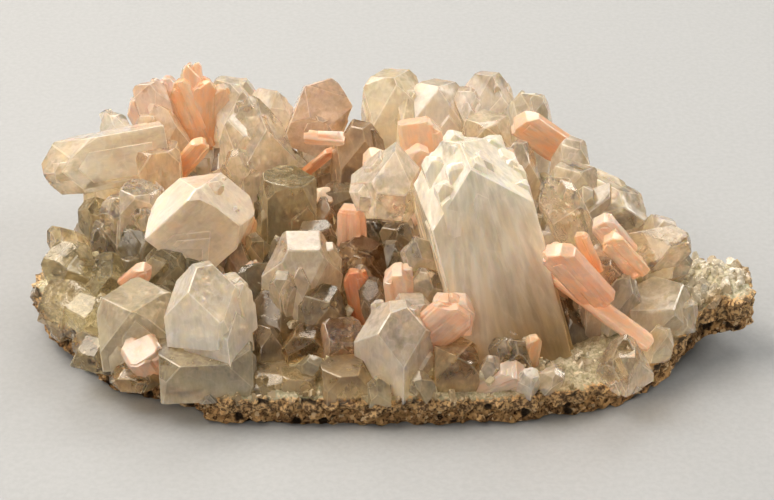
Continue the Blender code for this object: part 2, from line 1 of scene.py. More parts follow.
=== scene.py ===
"""Apophyllite with stilbite: the looks.

The crystals are laid out as the solids are: on an oblique drawing board seen 32 degrees above the table. Each
crystal is built again here from its planes, with chamfered and chipped edges, parallel sub-crystals and fine
relief, and replaces its plain solid. Lengths are in millimetres until a mesh is made.
"""

import itertools
import math
import random
import time

import bmesh
import bpy
import numpy as np
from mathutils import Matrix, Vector
from mathutils.geometry import delaunay_2d_cdt


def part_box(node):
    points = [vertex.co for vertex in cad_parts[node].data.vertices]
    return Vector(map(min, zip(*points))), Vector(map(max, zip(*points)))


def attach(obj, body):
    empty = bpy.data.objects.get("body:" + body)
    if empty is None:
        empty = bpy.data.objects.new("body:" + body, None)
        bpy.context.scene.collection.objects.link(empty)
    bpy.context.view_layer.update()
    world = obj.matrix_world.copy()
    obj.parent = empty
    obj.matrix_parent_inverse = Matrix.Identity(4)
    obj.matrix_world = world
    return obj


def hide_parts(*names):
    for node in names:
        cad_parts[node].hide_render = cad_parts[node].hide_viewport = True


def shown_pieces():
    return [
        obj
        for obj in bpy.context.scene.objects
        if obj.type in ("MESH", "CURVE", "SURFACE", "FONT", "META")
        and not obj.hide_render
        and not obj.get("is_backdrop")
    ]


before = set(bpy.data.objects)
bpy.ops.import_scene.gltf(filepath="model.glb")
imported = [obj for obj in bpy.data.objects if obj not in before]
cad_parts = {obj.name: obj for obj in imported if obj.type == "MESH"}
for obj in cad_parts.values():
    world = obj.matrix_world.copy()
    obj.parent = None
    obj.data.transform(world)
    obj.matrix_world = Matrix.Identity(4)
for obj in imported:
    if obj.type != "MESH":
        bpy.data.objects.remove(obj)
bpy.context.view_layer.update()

START = time.perf_counter()
# ---------------------------------------------------------------- driving dimensions (mm, degrees)
GAP = 0.30            # clearance left between solids that touch
GROW = 0.33           # how far a crystal is swollen when it cuts its neighbour, so the gap stays open
PYRAMID = 60.4        # slope of apophyllite's pyramid faces from the base plane
BLADE_POINT = 52.0    # slope of the stilbite blade's end faces
CELL = 6.4            # spacing of the points of the crust's and the rock's surfaces
ROOT_COVER = 1.1      # crust left under the root of a crystal
JITTER = 0.25         # how far a face wanders from its ideal place
SEED = 4203

# The drawing board: eye, target height, and sheet units per millimetre at one millimetre of depth.
BOARD_TILT = 32.0
BOARD_FOCAL = 1827.5
BOARD_REACH = 382.0
BOARD_TARGET_Z = 18.0
BOARD_CENTRE = (387.0, 250.0)

# The plate's edge, seen from above, counter-clockwise from the left end (mm).
PLATE = [
    (-74, -5), (-70.5, -10), (-63, -18.5), (-56, -25), (-48, -28), (-42, -29.5), (-35, -35), (-28, -36), (-10, -36.3),
    (10, -36.3), (28, -35.3), (42, -32), (50, -28.3), (57, -22.5), (61, -17.5), (64.5, -13), (69, -12.5),
    (72.5, -13.5), (75.5, -11), (76, -6.5), (73, -1.5), (68, 3), (64, 7), (58, 13), (52, 21), (46, 29), (39, 37),
    (31, 44), (18, 48), (0, 49.5), (-18, 49.5), (-36, 50), (-50, 48), (-60, 42), (-66, 32), (-70, 20), (-73, 8),
]

# ---------------------------------------------------------------- the crystals
# name, kind, solid, u, v, z, turn, lean, length, half width, half depth, point height, spin[, pyramid slope]
#   kind    A apophyllite (square prism, steep pyramid across its corners, flat top), S stilbite (blade)
#   u, v    the top's centre on the sheet; z its height over the table
#   turn    the axis on the sheet, clockwise from straight up; lean its tilt towards the reader (32 is upright)
#   point   how far above the flat top the four pyramid faces would meet: 0 is a sharp point
CRYSTALS = [
    # the left end and the back left
    ("A1", "A", "apophyllite_left_spear", 43, 172, 25, -101, 10, 27, 6.2, 5.8, 1.6, 38, 50),
    ("A2", "A", "apophyllite_back_left", 108, 111, 27, -20, 20, 14, 3.2, 3.0, 1.5, 20),
    ("A3a", "A", "apophyllite_back_left", 147, 82, 35, -12, 22, 16, 3.6, 3.4, 3.5, 15),
    ("A3b", "S", "stilbite_back_left_pair", 168, 77, 35, -4, 20, 17, 3.0, 1.7, 1.0, 0),
    ("A3c", "S", "stilbite_back_left_pair", 134, 98, 31, -25, 22, 13, 3.0, 1.8, 1.0, 10),
    ("A5", "A", "apophyllite_back_left", 160, 104, 31, 0, 18, 18, 5.6, 5.2, 2.0, 45),
    ("A4a", "S", "stilbite_fan", 190, 63, 38, -3, 18, 19, 2.4, 1.8, 0.5, 0),
    ("A4b", "S", "stilbite_fan", 178, 80, 35, -20, 22, 17, 2.7, 1.8, 0.8, -10),
    ("A4c", "S", "stilbite_fan", 207, 79, 35, 8, 20, 17, 2.7, 1.8, 0.8, 10),
    ("A4d", "S", "stilbite_fan", 222, 86, 33, 23, 20, 16, 2.5, 1.7, 0.8, 20),
    ("A6", "A", "apophyllite_left_spear", 156, 146, 30, -4, 24, 16, 4.8, 4.6, 8.0, 14),
    ("A7", "S", "stilbite_left_stub", 204, 141, 30, 44, 25, 10, 2.2, 1.3, 0.8, 10),
    ("A8a", "A", "apophyllite_left_cluster", 105, 205, 24, -62, 50, 12, 3.6, 3.4, 3.0, 30),
    ("A8b", "A", "apophyllite_left_cluster", 139, 188, 27, 6, 30, 13, 4.4, 4.0, 6.0, 10),
    ("A8c", "A", "apophyllite_left_cluster", 143, 208, 26, 4, 60, 8, 2.0, 1.9, 0.6, 40),
    ("A9", "A", "apophyllite_cloudy_block", 227, 195, 30, 50.6, 24, 16.5, 7.6, 6.6, 15.2, 0),
    ("A10a", "A", "apophyllite_left_cluster", 134, 224, 21, -12, 34, 14, 5.2, 4.8, 3.0, 45),
    ("A10b", "A", "apophyllite_left_cluster", 172, 244, 21, 10, 34, 14, 5.4, 5.0, 4.0, 20),
    ("A11", "A", "apophyllite_left_cluster", 86, 204, 20, -34, 25, 14, 4.4, 4.2, 3.6, 20),
    ("A12", "A", "apophyllite_back_domes", 228, 76, 33, -3, 15, 18, 5.6, 5.0, 4.0, 40),
    ("A13", "A", "apophyllite_back_domes", 272, 86, 31, 6, 18, 16, 5.0, 4.8, 4.0, 20),
    # the back, left of the middle
    ("B1", "A", "apophyllite_tall_point", 251, 96, 36, -4, 16, 24, 7.0, 6.6, 2.0, 30),
    ("B1b", "A", "apophyllite_tall_point", 236, 150, 29, -10, 55, 12, 3.5, 3.3, 1.0, 40),
    ("B2", "A", "apophyllite_grey_block", 290, 176, 27, 6, 30, 16, 5.6, 5.0, 9.0, 8),
    ("B3", "A", "apophyllite_pink_block", 329, 95, 34, 30, 55, 16, 5.9, 5.6, 7.0, -14),
    ("B4", "A", "apophyllite_back_middle", 359, 124, 31, 4, 25, 16, 5.2, 4.8, 4.0, 20),
    ("B5", "S", "stilbite_ledge", 345, 140, 29, 94, 5, 9, 1.7, 1.1, 0.8, 60),
    ("B6", "A", "apophyllite_back_middle", 334, 158, 22, 0, 30, 12, 4.4, 4.0, 2.0, 30),
    ("B6s", "S", "stilbite_hollow_blade", 333, 150, 25, 52, 20, 9, 1.3, 0.8, 0.5, 20),
    # the middle
    ("B7", "A", "apophyllite_centre", 304, 241, 27, 4, 38, 18, 6.2, 5.8, 6.0, 50),
    ("B7b", "A", "apophyllite_centre", 286, 272, 24, 0, 50, 12, 2.6, 2.4, 0.8, 40),
    ("B8", "S", "stilbite_centre_wall", 352, 207, 26, 0, 25, 16, 3.0, 1.7, 2.5, -10),
    ("B9", "A", "apophyllite_dark_floor", 362, 244, 20, 8, 35, 13, 5.2, 4.8, 5.0, 15),
    ("C1", "A", "apophyllite_cream", 389, 73, 37, -8, 20, 22, 6.3, 5.6, 6.0, 15),
    ("C1b", "A", "apophyllite_cream", 414, 88, 35, 8, 25, 18, 4.2, 4.0, 3.0, 30),
    ("C2", "S", "stilbite_summit_sheaf", 418, 119, 40, -10, 25, 15, 4.6, 2.0, 2.5, 0),
    ("C3", "S", "stilbite_summit_sheaf", 366, 157, 33, -70, 25, 15, 2.9, 1.8, 1.8, 0),
    ("C4", "S", "stilbite_summit_sheaf", 424, 148, 35.5, 30, 25, 13, 2.8, 1.6, 1.5, 10),
    ("C5", "A", "apophyllite_clear_wedge", 389, 208, 33, 186, 62, 14, 6.2, 6.0, 5.0, 40),
    ("C6", "A", "apophyllite_giant", 455, 136, 47, -15, 14, 48, 10.4, 9.0, 3.0, 10, 53),
    ("C6b", "A", "apophyllite_giant", 440, 146, 45, -6, 14, 18, 3.2, 3.0, 1.0, 30),
    ("C6c", "A", "apophyllite_giant", 488, 158, 43, 16, 22, 16, 4.2, 3.6, 1.6, 30),
    ("C7", "A", "apophyllite_small_pair", 416, 240, 31, -10, 60, 12, 2.9, 2.7, 1.0, 20),
    ("C8", "A", "apophyllite_small_pair", 425, 270, 25, -6, 55, 12, 3.3, 3.1, 1.0, 30),
    ("C9", "S", "stilbite_shoulder", 507, 150, 38, 14, 20, 15, 4.0, 2.0, 2.0, 0),
    ("C12", "A", "apophyllite_back_right", 487, 73, 37, 0, 18, 20, 5.6, 5.0, 4.0, 20),
    ("C12b", "A", "apophyllite_back_right", 466, 88, 35, -6, 25, 18, 4.0, 3.8, 3.0, 35),
    ("C13", "A", "apophyllite_back_right", 533, 90, 36, 8, 18, 18, 4.9, 4.4, 3.0, 30),
    ("C16", "A", "apophyllite_cream", 437, 82, 36, 0, 18, 18, 5.2, 4.6, 5.0, 5),
    ("C17", "A", "apophyllite_back_right", 486, 117, 33, 0, 28, 16, 5.2, 4.6, 6.0, 8),
    ("C14", "S", "stilbite_back_right", 518, 120, 35, -58, 24, 13, 3.6, 2.0, 1.8, 0),
    ("C18", "A", "apophyllite_grey_wedge", 522, 142, 32, 10, 25, 16, 4.2, 3.8, 2.0, 30),
    # the right
    ("C10", "A", "apophyllite_glassy_finger", 549, 180, 38, -30, 35, 20, 3.9, 3.6, 2.6, 20),
    ("C11", "S", "stilbite_bright_blades", 553, 249, 34, -46, 38, 18, 3.7, 2.0, 2.5, -15),
    ("C11b", "S", "stilbite_bright_blades", 651, 346, 13, 127, 10, 30, 1.9, 1.3, 1.2, 0),
    ("C11c", "S", "stilbite_thin_slip", 580, 233, 34, -26, 30, 10, 1.5, 0.9, 1.0, -20),
    ("D5", "S", "stilbite_right_steps", 599, 220, 32, -42, 25, 10, 2.6, 1.7, 2.0, -10),
    ("D5b", "S", "stilbite_right_steps", 608, 236, 30, -43, 25, 11, 2.4, 1.6, 1.5, -10),
    ("D2", "A", "apophyllite_right_ridge", 575, 139, 32, 6, 20, 16, 3.6, 3.4, 3.0, 20),
    ("D2b", "A", "apophyllite_right_ridge", 574, 164, 32, 0, 28, 16, 4.8, 4.4, 5.0, 12),
    ("D3", "A", "apophyllite_right_ridge", 648, 217, 23, 116, 24, 20, 4.6, 4.3, 3.0, 30),
    ("D3b", "A", "apophyllite_right_ridge", 602, 178, 30, 24, 18, 18, 4.6, 4.2, 3.0, 30),
    ("D4", "A", "apophyllite_right_prism", 690, 243, 24, 78, 20, 17, 4.5, 4.3, 2.6, 30),
    ("D4b", "A", "apophyllite_right_prism", 689, 259, 20, 60, 35, 12, 2.8, 2.6, 2.0, 20),
    ("D6", "A", "apophyllite_right_bed", 602, 252, 26, 0, 35, 15, 4.0, 3.6, 4.0, 15),
    ("D6b", "A", "apophyllite_right_bed", 624, 274, 22, 10, 40, 13, 3.6, 3.4, 2.0, 35),
    ("D8", "A", "apophyllite_right_bed", 662, 288, 18, 5, 45, 14, 7.0, 6.4, 6.0, 20),
    ("D8b", "A", "apophyllite_right_bed", 692, 301, 15, 29, 20, 12, 2.8, 1.3, 1.5, 10),
    ("D9", "A", "apophyllite_front_point", 625, 337, 17, -4, 38, 15, 4.2, 4.1, 1.4, 42),
    # the front, right of the middle
    ("G7", "A", "apophyllite_front_eyes", 513, 331, 17, 0, 45, 12, 3.8, 3.4, 2.0, 20),
    ("G7s", "S", "stilbite_front_sliver", 534, 337, 15, 4, 40, 9, 1.7, 1.0, 1.0, 20),
    ("G7b", "A", "apophyllite_front_eyes", 490, 358, 13, -10, 45, 8, 2.4, 2.2, 1.5, 30),
    ("G8", "S", "stilbite_front_lens", 521, 372, 10, 64, 30, 13, 3.4, 2.3, 2.0, 0),
    ("G1", "A", "apophyllite_front_hexagon", 400, 302, 23, 0, 33, 22, 6.7, 6.5, 1.4, 50, 48),
    ("G2", "S", "stilbite_front_sheaf", 464, 306, 23, 48, 30, 14, 4.2, 2.2, 2.0, 0),
    ("G2b", "S", "stilbite_front_sheaf", 455, 298, 24, 8, 36, 8, 4.3, 2.0, 2.6, 0),
    ("G3", "S", "stilbite_front_knob", 397, 269, 25, -6, 38, 10, 3.0, 2.2, 1.2, 0),
    ("G5", "A", "apophyllite_front_amber", 456, 345, 14, 4, 30, 12, 4.6, 4.2, 6.0, 8),
    # the front left
    ("E1", "A", "apophyllite_left_corner", 62, 251, 20, -14, 42, 15, 5.2, 5.0, 5.0, 20),
    ("E1b", "A", "apophyllite_left_corner", 96, 256, 20, 4, 45, 14, 5.0, 4.6, 4.0, 35),
    ("E1c", "A", "apophyllite_left_corner", 55, 290, 15, -34, 42, 13, 5.4, 5.0, 5.0, 25),
    ("E1d", "A", "apophyllite_left_corner", 84, 304, 14, -8, 50, 12, 5.0, 4.6, 5.0, 10),
    ("E2", "A", "apophyllite_left_glass", 90, 345, 11, -16, 52, 9, 5.4, 4.6, 4.0, 25),
    ("E2b", "A", "apophyllite_left_glass", 108, 352, 10, -10, 55, 8, 4.2, 4.0, 3.0, 40),
    ("E3", "A", "apophyllite_white_block", 135, 294, 21, -3, 33, 14, 7.9, 6.2, 8.0, 6),
    ("E4", "A", "apophyllite_front_spire", 203, 264, 29, -5, 18, 15.5, 6.7, 6.7, 2.0, 65, 52),
    ("E4b", "A", "apophyllite_front_spire", 206, 342, 14, 0, 34, 16, 9.0, 7.4, 15.0, 4),
    ("E5", "S", "stilbite_front_left", 139, 348, 14, -25, 58, 8, 3.9, 3.0, 4.0, 30),
    ("E6", "A", "apophyllite_white_block", 134, 366, 9, -4, 52, 8, 4.8, 4.6, 6.0, 42),
    ("E9", "S", "stilbite_left_chip", 147, 268, 20, 52, 28, 7, 2.2, 1.5, 1.2, 0),
    ("F2", "A", "apophyllite_olive", 252, 264, 20, 0, 35, 14, 4.8, 4.4, 3.6, 35),
    ("F3", "A", "apophyllite_olive", 270, 296, 18, 4, 38, 14, 4.8, 4.4, 3.0, 30),
    ("F4", "A", "apophyllite_low_clear", 322, 292, 19, 4, 38, 14, 4.4, 4.0, 5.0, 25),
    ("F5", "A", "apophyllite_low_clear", 304, 330, 14, -2, 42, 11, 4.8, 4.4, 4.0, 35),
    ("F6", "A", "apophyllite_pink_cube", 345, 330, 15, 18, 50, 11, 3.6, 3.4, 7.0, 15),
    ("F7", "S", "stilbite_red_blade", 354, 270, 21, -12, 22, 14, 2.7, 1.4, 1.2, 0),
    ("F8", "A", "apophyllite_sliver", 373, 279, 20, 4, 35, 12, 2.8, 2.6, 1.5, 30),
    ("F10a", "A", "apophyllite_front_low", 270, 370, 9, 0, 28, 12, 5.4, 3.6, 8.0, 5),
    ("F10b", "A", "apophyllite_front_low", 299, 372, 9, 6, 28, 10, 3.4, 3.0, 6.0, 5),
    ("F10c", "A", "apophyllite_front_hexagon", 347, 364, 11, 3, 30, 14, 5.2, 4.2, 8.0, 12),
]

# Crystals round the back rim: name, kind, solid, x, y, z of the top, bearing the axis leans to
# (counter-clockwise from +X), angle from upright, length, half width, half depth, point height, spin
REAR = [
    ("K1", "A", "apophyllite_back_left", -57, 44, 20, 120, 38, 11, 4.0, 3.8, 3.0, 20),
    ("K2", "A", "apophyllite_back_domes", -43, 47.5, 21, 100, 32, 12, 4.2, 4.0, 3.0, 40),
    ("K2b", "S", "stilbite_rear_fan", -31, 48.5, 22, 92, 30, 12, 3.0, 1.7, 1.2, 10),
    ("K2c", "S", "stilbite_rear_fan", -27, 48, 21, 70, 34, 12, 2.8, 1.6, 1.2, -20),
    ("K3", "A", "apophyllite_pink_block", -16, 48.5, 20, 90, 36, 11, 4.4, 4.0, 4.0, 15),
    ("K4", "A", "apophyllite_cream", -5, 48, 22, 86, 28, 12, 4.2, 4.0, 2.6, 45),
    ("K5", "A", "apophyllite_cream", 8, 48, 20, 92, 34, 11, 4.6, 4.2, 4.0, 25),
    ("K6", "A", "apophyllite_back_right", 21, 46, 21, 76, 32, 12, 4.2, 4.0, 3.0, 30),
    ("K7", "A", "apophyllite_back_right", 34, 40.5, 20, 58, 36, 11, 4.2, 3.8, 4.0, 10),
    ("K8", "A", "apophyllite_rear_corner", 47, 28, 19, 42, 32, 11, 4.2, 4.0, 3.0, 35),
    ("K8b", "S", "stilbite_rear_right", 52, 20, 18, 38, 38, 10, 2.8, 1.6, 1.2, 0),
    ("K9", "A", "apophyllite_right_ridge", 53, 12, 23, 34, 30, 15, 3.8, 3.6, 3.0, 20),
    ("K11", "A", "apophyllite_left_spear", -66, 28, 19, 155, 34, 11, 4.4, 4.2, 3.0, 25),
    ("K12", "A", "apophyllite_left_cluster", -66, 16, 16, 178, 26, 8, 3.4, 3.2, 3.0, 10),
]

# ---------------------------------------------------------------- the drawing board
_tilt = math.radians(BOARD_TILT)
RIGHT = np.array([1.0, 0.0, 0.0])
UP = np.array([0.0, math.sin(_tilt), math.cos(_tilt)])
INTO = np.array([0.0, math.cos(_tilt), -math.sin(_tilt)])
EYE = np.array([0.0, 0.0, BOARD_TARGET_Z]) - BOARD_REACH * INTO


def on_sheet(u, v, z):
    """The point at height z that lies under (u, v) of the sheet."""
    ray = RIGHT * (u - BOARD_CENTRE[0]) / BOARD_FOCAL + UP * (BOARD_CENTRE[1] - v) / BOARD_FOCAL + INTO
    return EYE + ray * ((z - EYE[2]) / ray[2])


def sheet_axis(turn, lean):
    turn, lean = math.radians(turn), math.radians(lean)
    return math.cos(lean) * (math.sin(turn) * RIGHT + math.cos(turn) * UP) - math.sin(lean) * INTO


def plan_axis(bearing, tilt):
    bearing, tilt = math.radians(bearing), math.radians(tilt)
    return np.array([math.sin(tilt) * math.cos(bearing), math.sin(tilt) * math.sin(bearing), math.cos(tilt)])


def cross_axes(axis, spin):
    side = RIGHT - axis * (RIGHT @ axis)
    if np.linalg.norm(side) < 0.2:
        side = UP - axis * (UP @ axis)
    side = side / np.linalg.norm(side)
    deep = np.cross(axis, side)
    s = math.radians(spin)
    return math.cos(s) * side + math.sin(s) * deep, -math.sin(s) * side + math.cos(s) * deep


# ---------------------------------------------------------------- the plate's surfaces
def ripple(x, y, scale, phase):
    """A smooth, repeatable unevenness between about -1 and 1."""
    x, y = x / scale, y / scale
    return (
        math.sin(1.7 * x + 0.6 * y + phase) + math.sin(-0.9 * x + 1.9 * y + 2.3 * phase)
        + math.sin(2.6 * x - 1.4 * y + 0.7 * phase)
    ) / 3.0


def ramp(value, start, end):
    t = min(1.0, max(0.0, (value - start) / (end - start)))
    return t * t * (3 - 2 * t)


def under_height(x, y):
    """The underside: flat on the table in the middle, lifting at both ends and a little at the back."""
    lift = 4.0 * (max(0.0, -53 - x) / 22) ** 1.4 + 6.8 * (max(0.0, x - 47) / 26) ** 1.2
    lift += 2.5 * (max(0.0, y - 38) / 12) ** 1.2
    return lift + 0.4 * ripple(x, y, 5.0, 1.0) * min(1.0, lift)


def rock_height(x, y):
    return under_height(x, y) + 3.2 + 0.45 * ripple(x, y, 6.0, 2.1)


def crust_height(x, y, edge):
    """The crust's top. edge is 0 at the rim and 1 inside."""
    thick = 3.6 + 2.6 * ramp(y, -30, 25) + 3.6 * ramp(x, 58, 70) + 0.6 * ripple(x, y, 5.5, 4.0)
    return rock_height(x, y) + GAP + thick * (0.55 + 0.45 * edge)


# ---------------------------------------------------------------- convex crystals
def unit(vector):
    return vector / np.linalg.norm(vector)


def crystal_planes(kind, top, axis, spin, a, b, point, length, slope, rng):
    """The planes (outward normal, distance) that bound a crystal."""
    x, y = cross_axes(axis, spin)
    planes = []

    def add(normal, reach, wander=1.0):
        normal = unit(np.asarray(normal, float))
        planes.append((normal, normal @ top + reach + wander * rng.uniform(-JITTER, JITTER)))

    if kind == "A":
        for normal, reach in ((x, a), (-x, a), (y, b), (-y, b)):
            add(normal, reach)
        add(axis, 0.0, 0.3)
        rho = math.radians(slope)
        for sx, sy in itertools.product((1, -1), (1, -1)):
            add((sx * x + sy * y) * math.sin(rho) / math.sqrt(2) + axis * math.cos(rho), point * math.cos(rho))
    else:
        for normal, reach in ((x, a), (-x, a), (y, b), (-y, b)):
            add(normal, reach, 0.4)
        add(axis, 0.0, 0.3)
        rho = math.radians(slope)
        for sx in (1, -1):
            add(sx * x * math.sin(rho) + axis * math.cos(rho), point * math.cos(rho), 0.5)
            for sy in (1, -1):
                add(sx * x * 0.62 + sy * y * 0.78, 0.62 * a + 0.43 * b, 0.2)
    add(-axis, length, 0.3)
    return planes


# ---------------------------------------------------------------- sheets between two heights
def inside(point, outline):
    x, y = point
    odd = False
    for (x0, y0), (x1, y1) in zip(outline, outline[1:] + outline[:1]):
        if (y0 > y) != (y1 > y) and x < (x1 - x0) * (y - y0) / (y1 - y0) + x0:
            odd = not odd
    return odd


def edge_distance(point, outline):
    best = 1e9
    for (x0, y0), (x1, y1) in zip(outline, outline[1:] + outline[:1]):
        dx, dy = x1 - x0, y1 - y0
        t = min(1.0, max(0.0, ((point[0] - x0) * dx + (point[1] - y0) * dy) / (dx * dx + dy * dy)))
        best = min(best, math.hypot(point[0] - x0 - t * dx, point[1] - y0 - t * dy))
    return best


def ragged(outline, step, amount, inset, rng):
    """The outline with points every step, moved in by inset and off the line by up to amount."""
    cx = sum(p[0] for p in outline) / len(outline)
    cy = sum(p[1] for p in outline) / len(outline)
    points = []
    for (x0, y0), (x1, y1) in zip(outline, outline[1:] + outline[:1]):
        length = math.hypot(x1 - x0, y1 - y0)
        count = max(1, round(length / step))
        nx, ny = (y1 - y0) / length, -(x1 - x0) / length
        if (x0 - cx) * nx + (y0 - cy) * ny < 0:
            nx, ny = -nx, -ny
        for i in range(count):
            t = i / count
            off = rng.uniform(-amount, amount) - inset
            points.append((x0 + (x1 - x0) * t + nx * off, y0 + (y1 - y0) * t + ny * off))
    return points


def plan_of(outline, rng, cell):
    """The flat triangulation that both sheets share: points, how far each is from the rim (0 to 1), triangles."""
    points = [Vector(p) for p in outline]
    count = len(points)
    xs = [p[0] for p in outline]
    ys = [p[1] for p in outline]
    row = 0
    y = min(ys)
    while y < max(ys):
        x = min(xs) + (0.5 * cell if row % 2 else 0.0)
        while x < max(xs):
            spot = (x + rng.uniform(-0.18, 0.18) * cell, y + rng.uniform(-0.18, 0.18) * cell)
            if inside(spot, outline) and edge_distance(spot, outline) > 0.55 * cell:
                points.append(Vector(spot))
            x += cell
        y += 0.866 * cell
        row += 1
    rim = [(i, (i + 1) % count) for i in range(count)]
    flat, _, found, *_ = delaunay_2d_cdt(points, rim, [], 1, 1e-5)
    flat = [(p[0], p[1]) for p in flat]
    edges = [min(1.0, edge_distance(p, outline) / (0.9 * cell)) for p in flat]
    triangles = []
    for a, b, c in found:
        (ax, ay), (bx, by), (cx, cy) = flat[a], flat[b], flat[c]
        turned = (bx - ax) * (cy - ay) - (by - ay) * (cx - ax) < 0
        triangles.append((c, b, a) if turned else (a, b, c))
    return flat, edges, triangles


# ---------------------------------------------------------------- meshes from planes
def merged(found, near=1e-4):
    """The points with near doubles dropped."""
    if len(found) < 2:
        return found
    close = np.sqrt(((found[:, None] - found[None]) ** 2).sum(2)) < near
    return found[~np.tril(close, -1).any(1)]


def points_of(planes, middle=None):
    """Corners of the convex solid inside the planes. middle is a point inside it, where one is known."""
    normals = np.array([n for n, _ in planes])
    reach = np.array([d for _, d in planes])
    if middle is None:
        combos = np.array(list(itertools.combinations(range(len(planes)), 3)))
        sides = normals[combos]
        sound = np.abs(np.linalg.det(sides)) > 1e-5
        found = np.linalg.solve(sides[sound], reach[combos[sound]][..., None])[..., 0]
        return merged(found[(found @ normals.T <= reach + 1e-6).all(1)])
    # Each corner is a face of the hull of the planes' dual points.
    gap = reach - normals @ middle
    if gap.min() < 1e-3:
        return np.zeros((0, 3))
    bm = bmesh.new()
    for i, q in enumerate(normals / gap[:, None]):
        bm.verts.new(q).index = i
    made = bmesh.ops.convex_hull(bm, input=bm.verts)
    trios = np.array([[v.index for v in f.verts] for f in bm.faces if len(f.verts) == 3])
    bm.free()
    sides = normals[trios]
    sound = np.abs(np.linalg.det(sides)) > 1e-7
    found = np.linalg.solve(sides[sound], reach[trios[sound]][..., None])[..., 0]
    return merged(found[(found @ normals.T <= reach + 2e-3).all(1)])


def edges_of(planes, points):
    """Pairs of planes that share an edge, with a point of that edge."""
    normals = np.array([n for n, _ in planes])
    reach = np.array([d for _, d in planes])
    on = np.abs(points @ normals.T - reach) < 1e-4
    found = []
    for i, j in itertools.combinations(range(len(planes)), 2):
        both = np.flatnonzero(on[:, i] & on[:, j])
        if len(both) >= 2:
            found.append((i, j, points[both[0]]))
    return found


def worn(planes, rng, width, chips, skip=()):
    """The planes with chipped corners and a narrow chamfer along every edge, and the corners of the result."""
    points = points_of(planes)
    if len(points) < 5 or np.ptp(points, axis=0).min() < 0.4:
        return None
    middle = points.mean(0)
    normals = np.array([n for n, _ in planes])
    reach = np.array([d for _, d in planes])
    extra = []
    for p in points:
        near = np.abs(normals @ p - reach) < 1e-4
        if rng.random() < chips and not any(near[k] for k in skip):
            way = unit(unit(normals[near].sum(0)) + np.array([rng.uniform(-0.5, 0.5) for _ in range(3)]))
            cut = float(way @ p) - rng.uniform(0.12, 0.75)
            if cut > float(way @ middle) + 0.3:
                extra.append((way, cut))
    planes = list(planes) + extra
    if extra:
        points = points_of(planes, middle)
        if len(points) < 5:
            return None
    flats = len(planes)
    bevels = []
    for i, j, p in edges_of(planes, points):
        if i in skip or j in skip:
            continue
        ni, nj = planes[i][0], planes[j][0]
        cosine = float(ni @ nj)
        if cosine > 0.985:
            continue
        way = unit(ni + nj)
        half = math.acos(max(-1.0, min(1.0, cosine))) / 2
        cut = float(way @ p) - 0.5 * width * rng.uniform(0.35, 1.5) * math.tan(half) * 0.8
        if cut > float(way @ middle) + 0.1:
            bevels.append((way, cut))
    planes = planes + bevels
    points = points_of(planes, middle)
    return (planes, points, flats) if len(points) >= 6 else None


def hull_mesh(name, points):
    bm = bmesh.new()
    for p in points:
        bm.verts.new(p)
    made = bmesh.ops.convex_hull(bm, input=bm.verts)
    loose = {g for g in made["geom_interior"] + made["geom_unused"] if isinstance(g, bmesh.types.BMVert)}
    bmesh.ops.delete(bm, geom=list(loose), context="VERTS")
    bmesh.ops.recalc_face_normals(bm, faces=bm.faces)
    mesh = bpy.data.meshes.new(name)
    bm.to_mesh(mesh)
    bm.free()
    obj = bpy.data.objects.new(name, mesh)
    return obj


def combine(target, others, operation):
    """Applies one Boolean of target with every one of the others, and removes them."""
    if not others:
        return
    holder = bpy.data.collections.new("cutters")
    bpy.context.scene.collection.children.link(holder)
    for other in others:
        holder.objects.link(other)
    modifier = target.modifiers.new("join", "BOOLEAN")
    modifier.operation = operation
    modifier.solver = "MANIFOLD"
    modifier.operand_type = "COLLECTION"
    modifier.collection = holder
    bpy.context.view_layer.update()
    result = bpy.data.meshes.new_from_object(target.evaluated_get(bpy.context.evaluated_depsgraph_get()))
    target.modifiers.clear()
    old, target.data = target.data, result
    bpy.data.meshes.remove(old)
    for other in others:
        data = other.data
        bpy.data.objects.remove(other)
        bpy.data.meshes.remove(data)
    bpy.data.collections.remove(holder)


def drop_doubled(bm):
    """Removes slivers folded onto themselves: of faces on the same three corners, those that cancel out go."""
    bm.verts.index_update()
    groups = {}
    for face in bm.faces:
        corners = [v.index for v in face.verts]
        turn = corners.index(min(corners))
        corners = tuple(corners[turn:] + corners[:turn])
        groups.setdefault(tuple(sorted(corners)), []).append((face, corners[1] < corners[-1]))
    gone = []
    for faces in groups.values():
        if len(faces) > 1:
            ahead = [f for f, way in faces if way]
            back = [f for f, way in faces if not way]
            kept = (ahead if len(ahead) > len(back) else back)[:int(len(ahead) != len(back))]
            gone += [f for f, _ in faces if f not in kept]
    if gone:
        bmesh.ops.delete(bm, geom=gone, context="FACES")
        loose = [v for v in bm.verts if not v.link_faces]
        bmesh.ops.delete(bm, geom=loose, context="VERTS")
    rims = [e for e in bm.edges if e.is_boundary]
    if rims:
        filled = bmesh.ops.holes_fill(bm, edges=rims, sides=8)["faces"]
        bmesh.ops.triangulate(bm, faces=[f for f in filled if len(f.verts) > 3])


